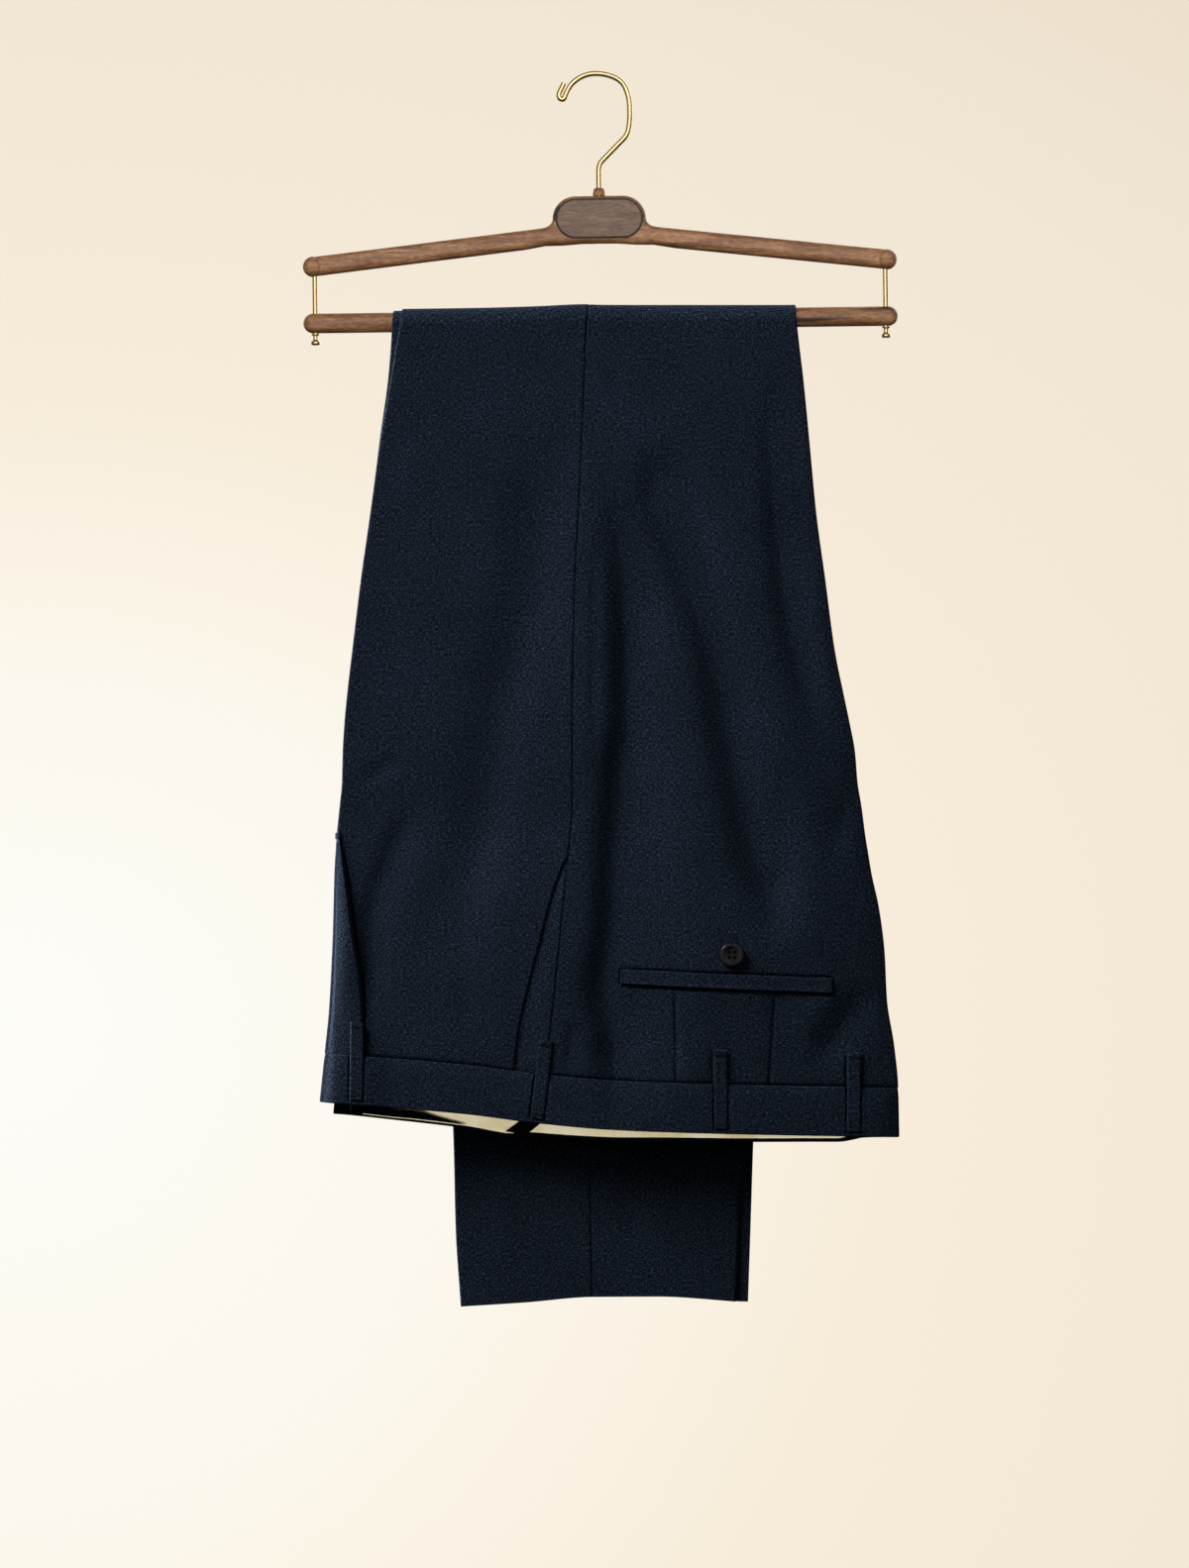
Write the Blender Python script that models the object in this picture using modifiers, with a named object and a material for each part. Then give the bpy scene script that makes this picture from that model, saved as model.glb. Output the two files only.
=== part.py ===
"""Pleated dress trousers, folded in half along their creases and hung over the
bar of a wooden trouser hanger.

Row frame: +X to the right as the hanger faces you, +Z up, the front fall of the
cloth on the -Y side. The origin is under the arc of the hook, where a rail
carries it. Tables and sizes are in millimetres.

The wearer's right half is the near one and the left half is the far one. Each
half is a front and a back that fold at their pressed creases, so a leg is four
walls of cloth over the bar: far outer, far inner, near inner, near outer.
"""
import math
from collections import namedtuple

import bmesh
import bpy
from mathutils import Matrix, Vector

MM = 0.001

# ---------------------------------------------------------------- sizes
WALL = 1.0              # one thickness of flannel
BAND_WALL = 2.0         # waistband, folded over its interfacing
TAPE_WALL = 1.6         # belt loops and the waistband's extension
GAP = 0.3               # between neighbours, at seams and between layers
PITCH = WALL + GAP      # from one layer of cloth to the next
SAME_POINT = 1e-4       # columns of a cut that close up to one point
MERGE = 1e-6            # the same in metres

TILT = math.radians(0.75)       # the hanger hangs a little higher on the right
BAR_RADIUS = 6.6
BAR_LEVEL = -162.0
BAR_HALF = 198.0
BAR_STEPS = 8                   # flats of cloth over the upper half of the bar

MIDDLE = 2 * PITCH + GAP / 2    # from the bar out to the fold's middle plane
OUTER = 1.5 * PITCH             # outer wall, from the middle plane
INNER = 0.5 * PITCH             # inner wall, from the middle plane
SEAM_STOP = 0.3                 # centre seams stop this far off the middle plane
FORK_STOP = 0.25                # and this much further where they meet the creases
FORK_SPREAD = 14.0
TURN = INNER                    # radius of a pressed crease
TURN_STEPS = 4

CROTCH_TOP = -411.0     # inseam's upper end
CROTCH_FORK = -486.8    # where centre front and centre back leave the creases
WAIST_SEAM = -667.7
WAIST_EDGE = -700.7
HEM = -815.0
HEM_START = -640.0      # the hem's own shape begins at this level
TILT_FADE = 100.0       # the bar's tilt has left the cloth this far below it
BULGE = 0.75            # a wall bulges as the sine across it to this power

# Front fall of the near half, from the bar down to the waistband seam:
# edges, outseam and pocket mouth across, how far the outer wall stands out,
# and the pleat: its fold line, the depth folded under and how far it turns.
Section = namedtuple("Section", "z front seam back mouth puff pleat under turn")
FRONT_FALL = [
    Section(-162.0, -130.9, -6.9, 132.0, -6.9, 0.0, -130.9, 0.0, 0),
    Section(-182.0, -134.5, -7.9, 134.3, -7.9, 0.5, -134.5, 0.0, 0),
    Section(-204.3, -137.9, -8.6, 137.0, -8.6, 1.2, -137.9, 0.0, 0),
    Section(-246.6, -145.0, -10.4, 141.2, -10.4, 3.0, -145.0, 0.0, 0),
    Section(-291.5, -151.1, -12.3, 145.5, -12.3, 4.6, -151.1, 0.0, 0),
    Section(-335.7, -157.4, -14.7, 151.5, -14.7, 5.9, -157.4, 0.0, 0),
    Section(-381.9, -163.0, -15.8, 157.7, -15.8, 7.1, -163.0, 0.0, 0),
    Section(-411.0, -166.4, -16.2, 163.5, -16.2, 7.9, -166.4, 0.0, 0),
    Section(-430.0, -168.2, -16.4, 167.5, -16.4, 8.3, -168.2, 0.0, 0),
    Section(-450.0, -169.4, -16.4, 171.2, -16.4, 8.7, -169.4, 0.0, 0),
    Section(-470.3, -169.9, -16.4, 172.9, -16.4, 9.2, -169.9, 0.0, 0),
    Section(-486.8, -171.5, -16.5, 175.6, -16.5, 9.6, -171.5, 0.0, 0),
    Section(-505.0, -173.3, -17.8, 178.0, -17.8, 10.0, -173.3, 0.0, 0),
    Section(-517.0, -174.1, -19.0, 180.0, -19.0, 10.3, -168.6, 0.8, 75),
    Section(-530.0, -174.8, -20.2, 182.2, -24.6, 10.5, -166.2, 1.0, 115),
    Section(-552.8, -175.4, -22.4, 187.3, -31.8, 11.0, -163.6, 3.0, 180),
    Section(-580.0, -176.0, -25.1, 190.9, -38.4, 11.2, -160.7, 6.0, 180),
    Section(-611.6, -177.2, -28.1, 192.6, -46.2, 11.0, -156.4, 9.0, 180),
    Section(-640.0, -178.7, -31.2, 197.3, -52.2, 10.2, -154.3, 12.0, 180),
    Section(-667.5, -181.4, -34.0, 200.0, -55.2, 9.2, -154.4, 14.0, 180),
]

# Back fall of the far half, from the bar down to the hem.
Leg = namedtuple("Leg", "z front seam back puff")
BACK_FALL = [
    Leg(-162.0, -135.3, -9.5, 125.4, 0.0),
    Leg(-230.0, -130.6, -9.0, 122.0, 0.8),
    Leg(-330.0, -123.4, -8.2, 116.5, 1.6),
    Leg(-440.0, -114.4, -7.4, 110.0, 2.0),
    Leg(-550.0, -105.6, -6.8, 103.4, 2.2),
    Leg(-640.0, -99.6, -6.2, 98.9, 2.2),
    Leg(-710.0, -96.0, -5.6, 95.9, 2.2),
    Leg(-765.0, -94.6, -4.4, 94.0, 2.0),
    Leg(-815.0, -91.2, -3.3, 92.2, 1.8),
]

# The front's top layer stands this much prouder beside the pleat, which takes up
# the room of the two layers folded under it.
Lead = namedtuple("Lead", "z rise")
PLEAT_LEAD = [Lead(-486.8, 0.0), Lead(-505.0, 0.3), Lead(-530.0, 1.3), Lead(-560.0, 2.2), Lead(-600.0, 2.6)]

# The far half lies a little to the left of the near one over the bar, and the
# near leg a little to the right of the far one behind it.
Shift = namedtuple("Shift", "z x")
FAR_SHIFT = [Shift(-162.0, -5.6), Shift(-182.0, -3.2), Shift(-204.3, -1.8), Shift(-260.0, 0.0)]
NEAR_LEG_SHIFT = [Shift(-162.0, 6.3), Shift(-440.0, 7.6), Shift(-815.0, 8.3)]

# The waistline and the hem, as height over their level across the width.
Edge = namedtuple("Edge", "x rise")
WAISTLINE = [
    Edge(-185.0, 18.0), Edge(-154.0, 15.8), Edge(-86.0, 10.1), Edge(-41.0, 4.4),
    Edge(11.0, -0.3), Edge(75.0, -3.2), Edge(165.0, -6.3), Edge(200.0, -7.3),
]
HEMLINE = [Edge(-92.0, -5.1), Edge(-48.0, -2.2), Edge(-3.0, 1.5), Edge(40.0, 1.7), Edge(95.0, -1.9)]

FAR_DROP = 6.5          # the far waist hangs this much lower than the near one
DROP_END = 200.0        # but not at centre back,
DROP_RUN = 100.0        # from which the drop grows over this width
FAR_TUCK = 9.0          # the far waist's front corner lies this much further in
TUCK_START = CROTCH_FORK - 90.0
PLEAT_TUCK = 0.7        # the far pleat moves in by this share of it
FAR_PUFF = 0.5          # the far wall stands out this share of the near one's

# Largest soft folds of the outer walls: the levels of their ends, their place at
# the upper end, halfway and at the lower end, how wide they are to the left and
# to the right, and their depth, which is negative for a trough.
NEAR, FAR = 1, -1
Fold = namedtuple("Fold", "side upper lower x_upper x_halfway x_lower left right depth")
FOLDS = [
    Fold(NEAR, -235.0, -705.0, 12.0, 18.0, 13.0, 11.0, 26.0, -4.0),
    Fold(NEAR, -225.0, -610.0, 24.0, 76.0, 126.0, 15.0, 20.0, -3.2),
    Fold(NEAR, -170.0, -520.0, 126.0, 124.0, 124.0, 10.0, 13.0, -1.5),
    Fold(NEAR, -200.0, -610.0, -30.0, -62.0, -100.0, 22.0, 18.0, -3.0),
    Fold(FAR, -235.0, -705.0, 16.0, 12.0, 14.0, 12.0, 22.0, -2.2),
    Fold(FAR, -260.0, -620.0, -60.0, -84.0, -96.0, 24.0, 20.0, -1.8),
    Fold(FAR, -240.0, -600.0, 118.0, 96.0, 84.0, 18.0, 16.0, -1.6),
]
FOLD_FADE = 0.25        # a fold comes and goes over this share of its length

FRONT_COLUMNS = (0.0, 0.12, 0.25, 0.38, 0.5, 0.62, 0.75, 0.88, 1.0)
BACK_COLUMNS = (0.0, 0.06, 0.11, 0.16, 0.21, 0.27, 0.34, 0.42, 0.5, 0.58, 0.66, 0.74, 0.82, 0.91, 1.0)
CENTRE_COLUMNS = (0.0, 0.35, 0.7, 1.0)
WING_COLUMNS = (0.0, 0.3, 0.65, 1.0)
PLEAT_STEPS = 3
POCKET_TOP = -517.0     # upper end of the slanting pocket mouth
FACING_UNDER = 10.0     # the pocket facing reaches this far under the front
FACING_RISE = 9.0       # where this much of it shows, its edge lies level with the back
FACING_END = 2.5        # least width of its last strips, at the outseam

BAND_FLATS = 28
BAND_TURN = 1.6         # radius of the band's turn towards a centre seam
BAND_RAMP = 12.0        # the band takes on its full thickness over this width
LINING_ENDS = (-112.0, 180.0)
LINING_TOP = -643.0
UNDER_FACING = 2.8      # above the seam the lining also clears the pocket facing
FACING_MIDDLE = -49.5   # which lies about here,
FACING_HALF = 17.0      # reaches this far each way
FACING_FADE = 22.0      # and is left behind over this width
LINING_FLATS = 26
LINING_SHORT = 3.2      # the lining stops this far above the band's edge
LEAST_STAND = 0.8       # what lies inside a half stays this far off the middle plane
LINING_CLEAR = 0.5      # more room for the lining, whose flats are longer than the band's
LINING_LIFT = -(BAND_WALL / 2 + GAP + LINING_CLEAR + WALL / 2)
EXTENSION_COLUMNS = (-165.0, -145.0, -125.0, -107.0, -90.0)
RIBBON_ENDS = (-42.0, -27.5)    # the hanging loop at the waist seam
RIBBON_RUN = ((-671.0, 2.0), (-684.0, 10.0), (-696.7, 20.0))    # its levels, and how far it has slanted
BELT_LOOPS = (-159.7, -37.0, 81.8, 170.3)
LOOP_WIDTH = 9.0
LOOP_TOP = -645.0
LOOP_END = -699.0
# levels of a belt loop's cuts, and how far it has risen from the panel to the band
LOOP_RISE = ((LOOP_TOP, 0.0), (LOOP_TOP - 3.0, 0.25), (LOOP_TOP - 11.0, 1.0), (WAIST_SEAM, 1.0),
             (-684.0, 1.0), (LOOP_END, 1.0))

WELT_ENDS = (15.5, 156.3)
WELT_LEVEL = (-599.3, -602.6)
WELT_HEIGHT = 10.5
WELT_FLATS = 20
WELT_CLEAR = 0.3        # its flats cross those of the back
BUTTON_AT = (89.8, -583.2)
BUTTON_RADIUS = 8.0
BUTTON_THICK = 3.0
BUTTON_SHANK = 0.6      # its thread holds it this far off the cloth
HOLE_CIRCLE = 2.2       # radius of the circle that its holes lie on

ARM_LEVEL = -102.8      # where the two arms' centre lines would meet
ARM_SLOPE = math.radians(6.4)
ARM_HALF = 191.0
ARM_RADIUS = 6.5
ARM_THICK = 12.0
ARM_EDGE = 4.5          # rounding of the arm's edges
YOKE_LEVEL = -94.8
YOKE_STRAIGHT = 15.8    # half the straight length of the oval
INLAY_RADIUS = 13.4
YOKE_BORDER = 1.9
INLAY_DEPTH = 1.2
YOKE_UNDER = -111.3
ROD_SPAN = 190.0
ROD_RADIUS = 1.7
WIRE_RADIUS = 1.75
HOOK_RADIUS = 22.0

# ---------------------------------------------------------------- colours
Finish = namedtuple("Finish", "colour roughness metallic")
FLANNEL = Finish((0.010, 0.017, 0.032), 0.95, 0.0)
LINING = Finish((0.55, 0.49, 0.33), 0.8, 0.0)
RIBBON = Finish((0.008, 0.008, 0.010), 0.6, 0.0)
HORN = Finish((0.012, 0.012, 0.016), 0.35, 0.0)
WALNUT = Finish((0.075, 0.028, 0.014), 0.4, 0.0)
INLAY = Finish((0.11, 0.05, 0.028), 0.45, 0.0)
BRASS = Finish((0.72, 0.56, 0.33), 0.25, 1.0)


# ---------------------------------------------------------------- helpers
def read(table, column, key, at):
    """The value of a column of a table at a key, on a smooth curve through its rows."""
    keys = [getattr(row, key) for row in table]
    values = [getattr(row, column) for row in table]
    if keys[0] > keys[-1]:
        keys.reverse()
        values.reverse()
    if at <= keys[0]:
        return values[0]
    if at >= keys[-1]:
        return values[-1]
    i = max(j for j in range(len(keys) - 1) if keys[j] <= at)

    def slope(j):
        if j == 0 or j == len(keys) - 1:
            return 0.0
        before = (values[j] - values[j - 1]) / (keys[j] - keys[j - 1])
        after = (values[j + 1] - values[j]) / (keys[j + 1] - keys[j])
        return 0.0 if before * after <= 0 else 2 * before * after / (before + after)

    width = keys[i + 1] - keys[i]
    t = (at - keys[i]) / width
    rise = values[i + 1] - values[i]
    start = slope(i) if i else rise / width
    stop = slope(i + 1) if i + 1 < len(keys) - 1 else rise / width
    return (values[i] + start * width * t
            + (3 * rise - (2 * start + stop) * width) * t ** 2
            + ((start + stop) * width - 2 * rise) * t ** 3)


def ease(t):
    """0 to 1 with level ends."""
    t = min(1.0, max(0.0, t))
    return t * t * (3 - 2 * t)


def finish_object(obj, finish, collection):
    """Gives an object its material and puts it in a collection."""
    material = bpy.data.materials.get(obj.name) or bpy.data.materials.new(obj.name)
    material.use_nodes = True
    shader = material.node_tree.nodes["Principled BSDF"]
    shader.inputs["Base Color"].default_value = (*finish.colour, 1.0)
    shader.inputs["Roughness"].default_value = finish.roughness
    shader.inputs["Metallic"].default_value = finish.metallic
    obj.data.materials.append(material)
    if obj.type == "MESH":
        obj.data.shade_smooth()
        obj.data.set_sharp_from_angle(angle=math.radians(40))
    collection.objects.link(obj)
    return obj


def thicken(points, wall):
    """Both faces of a wall along a cut of (x, offset) points, mitred at its corners.

    Points that repeat keep their number, so every cut of a sheet has as many.
    """
    corners = [points[0]]
    index = [0]
    for point in points[1:]:
        if math.dist(point, corners[-1]) > SAME_POINT:
            corners.append(point)
        index.append(len(corners) - 1)
    normals = []
    for (x1, y1), (x2, y2) in zip(corners, corners[1:]):
        length = math.dist((x1, y1), (x2, y2))
        normals.append(((y1 - y2) / length, (x2 - x1) / length))
    faces = ([], [])
    for i, (x, y) in enumerate(corners):
        before = normals[max(i - 1, 0)]
        after = normals[min(i, len(normals) - 1)]
        sum_x = before[0] + after[0]
        sum_y = before[1] + after[1]
        reach = wall / max(sum_x ** 2 + sum_y ** 2, 0.5)
        for face, sign in zip(faces, (1, -1)):
            face.append((x + sign * sum_x * reach, y + sign * sum_y * reach))
    return [[face[i] for i in index] for face in faces]


def cloth(name, cuts, wall, finish, collection):
    """A sheet of cloth lofted through its cuts, with its thickness, as one closed wall.

    A cut is a list of (x, offset) points and the function that places one in space.
    """
    work = bmesh.new()
    rings = []
    for points, place in cuts:
        one, other = thicken(points, wall)
        ring = one + other[::-1]
        rings.append([work.verts.new(Vector(place(x, offset)) * MM) for x, offset in ring])
    count = len(rings[0])
    for upper, lower in zip(rings, rings[1:]):
        for i in range(count):
            j = (i + 1) % count
            work.faces.new((upper[i], upper[j], lower[j], lower[i]))
    for ring in (rings[0], rings[-1]):
        for i in range(count // 2 - 1):
            work.faces.new((ring[i], ring[i + 1], ring[count - 2 - i], ring[count - 1 - i]))
    bmesh.ops.remove_doubles(work, verts=work.verts, dist=MERGE)
    bmesh.ops.triangulate(work, faces=work.faces, quad_method="SHORT_EDGE")
    bmesh.ops.recalc_face_normals(work, faces=work.faces)
    mesh = bpy.data.meshes.new(name)
    work.to_mesh(mesh)
    work.free()
    return finish_object(bpy.data.objects.new(name, mesh), finish, collection)


# ---------------------------------------------------------------- cloth surfaces
def waist_share(z):
    """How far a level has taken on the waistline's own shape, from 0 to 1."""
    return ease((CROTCH_FORK - z) / (CROTCH_FORK - WAIST_SEAM))


def on_front(z, side):
    """Places a cut's points at a level of the front fall. z may be a function of x."""
    level = z if callable(z) else lambda x: z
    return lambda x, offset: front_point(x, level(x), offset, side)


def on_bar(angle, side):
    return lambda x, offset: bar_point(x, angle, offset, side)


def on_back(z, side):
    return lambda x, offset: back_point(x, z, offset, side)


def front_point(x, z, offset, side):
    """A point of the front fall: offset is measured out from the fold's middle plane."""
    share = waist_share(z)
    level = z + read(WAISTLINE, "rise", "x", x) * share
    level += x * math.tan(TILT) * ease(1 - (BAR_LEVEL - z) / TILT_FADE)
    if side == FAR:
        level -= FAR_DROP * share * ease((DROP_END - x) / DROP_RUN)
    return (x, -(BAR_RADIUS + MIDDLE + side * offset), level)


def bar_point(x, angle, offset, side):
    """A point over the bar: 0 is level with its axis in front, pi behind."""
    reach = BAR_RADIUS + MIDDLE + side * offset
    level = BAR_LEVEL + x * math.tan(TILT) + reach * math.sin(angle)
    return (x, -reach * math.cos(angle), level)


def back_point(x, z, offset, side):
    """A point of the back fall, behind the bar."""
    fade = ease(1 - (BAR_LEVEL - z) / TILT_FADE)
    hem = ease((z - HEM_START) / (HEM - HEM_START))
    level = z + x * math.tan(TILT) * fade + read(HEMLINE, "rise", "x", x) * hem
    return (x, BAR_RADIUS + MIDDLE + side * offset, level)


def section_at(z):
    """The near half's section at any level of the front fall or the waistband."""
    return Section(z, *[read(FRONT_FALL, column, "z", z) for column in Section._fields[1:]])


def half_section(z, side):
    """A section of one half."""
    row = section_at(z)
    if side == NEAR:
        return row
    shift = read(FAR_SHIFT, "x", "z", z)
    tuck = FAR_TUCK * ease((TUCK_START - z) / (TUCK_START - WAIST_EDGE))
    return row._replace(front=row.front + shift + tuck, seam=row.seam + shift, back=row.back + shift,
                        mouth=row.mouth + shift, pleat=row.pleat + shift + PLEAT_TUCK * tuck,
                        puff=row.puff * FAR_PUFF)


def pleat_path(row):
    """The pleat in plan, from its outer fold: two turns and the depth between them."""
    turn = math.radians(row.turn)
    path = [(0.0, 0.0)]
    for step in range(1, PLEAT_STEPS + 1):
        angle = turn * step / PLEAT_STEPS
        path.append((-TURN * math.sin(angle), -TURN * (1 - math.cos(angle))))
    x, drop = path[-1]
    x -= row.under * math.cos(turn)
    drop -= row.under * math.sin(turn)
    path.append((x, drop))
    for step in range(PLEAT_STEPS - 1, -1, -1):
        angle = turn * step / PLEAT_STEPS
        path.append((x - TURN * (math.sin(turn) - math.sin(angle)),
                     drop - TURN * (math.cos(angle) - math.cos(turn))))
    return path


def fold_depth(x, z, side):
    """All soft folds of one side together at a point."""
    depth = 0.0
    for fold in FOLDS:
        if fold.side != side or not fold.lower <= z <= fold.upper:
            continue
        t = (fold.upper - z) / (fold.upper - fold.lower)
        centre = (fold.x_upper * (1 - t) * (1 - 2 * t) + fold.x_halfway * 4 * t * (1 - t)
                  + fold.x_lower * t * (2 * t - 1))
        fade_out = 1.0 if fold.lower < WAIST_SEAM else ease((1 - t) / FOLD_FADE)
        half = fold.left if x < centre else fold.right
        depth += fold.depth * ease(t / FOLD_FADE) * fade_out * math.exp(-((x - centre) / half) ** 2)
    return depth


def stand(x, row, side):
    """How far the outer wall's middle stands out from the fold's middle plane."""
    lead = read(PLEAT_LEAD, "rise", "z", row.z)
    if x < row.pleat:
        raised = lead * (x - row.front) / max(row.pleat - row.front, 1.0)
    else:
        raised = lead * (1 - ease((x - row.pleat) / (row.back - row.pleat)))
    lift = raised + row.puff * bulge(x, row) + fold_depth(x, row.z, side)
    return OUTER + max(0.0, lift)


def bulge(x, row):
    """The share of a wall's puff at x: none at its edges, all in the middle."""
    t = (x - row.front) / (row.back - row.front)
    return math.sin(math.pi * min(1.0, max(0.0, t))) ** BULGE


def crease_turn(edge, into, z):
    """The turn at an edge, as (x, offset): a quarter turn at a centre seam, a half one at a crease."""
    share = ease((z - CROTCH_FORK + 2 * FORK_SPREAD) / (3 * FORK_SPREAD))
    past = math.pi / 2 * share
    low = SEAM_STOP * (1 - share) + (GAP + WALL * math.sin(past)) / 2 * share
    low += FORK_STOP * 4 * share * (1 - share)
    radius = (OUTER - low) / (1 + math.sin(past))
    points = []
    for step in range(TURN_STEPS + 1):
        angle = (math.pi / 2 + past) * step / TURN_STEPS
        points.append((edge + into * (WALL / 2 + radius - radius * math.sin(angle)),
                       OUTER - radius + radius * math.cos(angle)))
    return points


def wing_reach(z):
    """How much of the inner wall there is at a level: none at the fork, all at the inseam."""
    f = min(1.0, max(0.0, (z - CROTCH_FORK) / (CROTCH_TOP - CROTCH_FORK)))
    return 1 - math.sqrt(1 - f * f)


def leg_columns(row, edge, columns, stand_at):
    """One panel's cut across a leg, from the outseam round the crease to the inseam.

    edge is the crease's place. Gives (x, offset) pairs.
    """
    seam_side = row.seam + (GAP / 2 if edge > row.seam else -GAP / 2)
    into = -1 if edge > row.seam else 1
    turn = crease_turn(edge, into, row.z)
    start = turn[0][0]
    line = [seam_side + (start - seam_side) * t for t in columns]
    points = [(x, stand_at(x)) for x in line[:-1]] + turn
    reach = wing_reach(row.z)
    end = turn[-1][0]
    low = turn[-1][1]
    points += [(end + (seam_side - end) * t * reach, low) for t in WING_COLUMNS[1:]]
    return points


# ---------------------------------------------------------------- fronts and backs
def with_spare(points):
    """A front's cut above its pleat, whose points are closed up at the crease."""
    crease = len(FRONT_COLUMNS) - 1
    spare = 2 * PLEAT_STEPS + len(CENTRE_COLUMNS)
    return points[:crease] + [points[crease]] * spare + points[crease:]


def back_cut(z, side):
    """The back's cut at a level of the front fall."""
    row = half_section(z, side)
    if z > CROTCH_FORK:
        return leg_columns(row, row.back, BACK_COLUMNS, lambda x: stand(x, row, side))
    start = row.seam + GAP / 2
    turn = crease_turn(row.back, -1, z)
    line = [start + (turn[0][0] - start) * t for t in BACK_COLUMNS]
    points = [(x, stand(x, row, side)) for x in line[:-1]] + turn
    return points + [turn[-1]] * (len(WING_COLUMNS) - 1)


def front_cut(z, side):
    """The front's cut at a level of the front fall, with its pleat below the fork."""
    row = half_section(z, side)
    if z > CROTCH_FORK:
        return with_spare(leg_columns(row, row.front, FRONT_COLUMNS, lambda x: stand(x, row, side)))
    mouth = row.mouth - GAP / 2
    turn = crease_turn(row.front, 1, z)
    closed = [turn[-1]] * (len(WING_COLUMNS) - 1)
    fold = max(row.pleat + TURN + WALL / 2, turn[0][0]) if row.turn else turn[0][0]
    line = [mouth + (fold - mouth) * t for t in FRONT_COLUMNS]
    points = [(x, stand(x, row, side)) for x in line]
    if not row.turn:
        return with_spare(points[:-1] + turn + closed)
    crest = points[-1][1]
    points += [(fold + dx, crest + drop) for dx, drop in pleat_path(row)[1:]]
    inner_x, inner_offset = points[-1]
    for t in CENTRE_COLUMNS[1:-1]:
        x = inner_x + (turn[0][0] - inner_x) * t
        points.append((x, inner_offset + (OUTER - inner_offset) * ease(t)))
    return points + turn + closed


def back_fall_row(z, side):
    """A leg's section behind the bar."""
    values = [read(BACK_FALL, column, "z", z) for column in Leg._fields[1:]]
    shift = read(NEAR_LEG_SHIFT, "x", "z", z) if side == NEAR else 0.0
    return Leg(z, *[value + shift for value in values[:3]], values[3])


def behind_cut(z, side, is_front):
    """A panel's cut at a level of the back fall."""
    leg = back_fall_row(z, side)
    row = section_at(BAR_LEVEL)._replace(front=leg.front, seam=leg.seam, back=leg.back)
    edge = row.front if is_front else row.back
    columns = FRONT_COLUMNS if is_front else BACK_COLUMNS
    points = leg_columns(row, edge, columns, lambda x: OUTER + leg.puff * bulge(x, leg))
    return with_spare(points) if is_front else points


def along(points, x):
    """The offset of a cut's outer wall at x, on the straight between its columns."""
    for (x1, low), (x2, high) in zip(points, points[1:]):
        if min(x1, x2) <= x <= max(x1, x2) and x1 != x2:
            return low + (high - low) * (x - x1) / (x2 - x1)
    return points[0][1] if abs(x - points[0][0]) < abs(x - points[-1][0]) else points[-1][1]


def panel_stand(x, z, side):
    """The outer wall's stand at a point as its facets have it, so that what lies on it clears it."""
    levels = [row.z for row in FRONT_FALL]
    upper = max((level for level in levels[:-1] if level >= z), key=lambda level: -level, default=levels[0])
    i = min(levels.index(upper), len(levels) - 2)
    t = min(1.0, (levels[i] - z) / (levels[i] - levels[i + 1]))
    stands = []
    for level in (levels[i], levels[i + 1]):
        row = half_section(level, side)
        cut = front_cut(level, side) if x < row.seam else back_cut(level, side)
        outer = cut[:len(FRONT_COLUMNS)] if x < row.seam else cut[:len(BACK_COLUMNS)]
        if x < outer[-1][0] and x < row.seam:
            centre = cut[len(FRONT_COLUMNS) + 2 * PLEAT_STEPS:]
            outer = centre[:len(CENTRE_COLUMNS)]
        stands.append(along(outer, x))
    return stands[0] + (stands[1] - stands[0]) * t


def make_panel(name, side, is_front, collection):
    """A front or a back: front fall, over the bar and back fall in one sheet."""
    cut = front_cut if is_front else back_cut
    cuts = [(cut(section.z, side), on_front(section.z, side)) for section in reversed(FRONT_FALL)]
    before = cut(BAR_LEVEL, side)
    after = behind_cut(BAR_LEVEL, side, is_front)
    for step in range(1, BAR_STEPS):
        t = step / BAR_STEPS
        blend = [(a[0] + (b[0] - a[0]) * t, a[1] + (b[1] - a[1]) * t) for a, b in zip(before, after)]
        cuts.append((blend, on_bar(math.pi * t, side)))
    cuts += [(behind_cut(leg.z, side, is_front), on_back(leg.z, side)) for leg in BACK_FALL]
    return cloth(name, cuts, WALL, FLANNEL, collection)


def make_facing(name, side, collection):
    """The pocket facing: it shows between the slanting mouth and the outseam."""
    cuts = []
    for section in FRONT_FALL:
        if section.z > POCKET_TOP:
            continue
        row = half_section(section.z, side)
        shown = row.seam - row.mouth
        rise = ease(shown / FACING_RISE)
        end = row.seam - GAP / 2
        columns = [(row.mouth - FACING_UNDER, -PITCH),
                   (min(row.mouth - GAP, end - 2 * FACING_END), -PITCH),
                   (min(row.mouth + 0.3 * shown, end - FACING_END), -PITCH),
                   (end, -PITCH * (1 - rise))]
        cuts.append(([(x, panel_stand(x, section.z, side) + sink) for x, sink in columns],
                     on_front(section.z, side)))
    return cloth(name, cuts, WALL, FLANNEL, collection)


# ---------------------------------------------------------------- waist
def band_stand(x, z, side):
    """How far the waistband's middle stands out."""
    row = half_section(z, side)
    ends = min(x - row.front, row.back - x)
    return stand(x, row, side) + (BAND_WALL - WALL) / 2 * ease(ends / BAND_RAMP)


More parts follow.
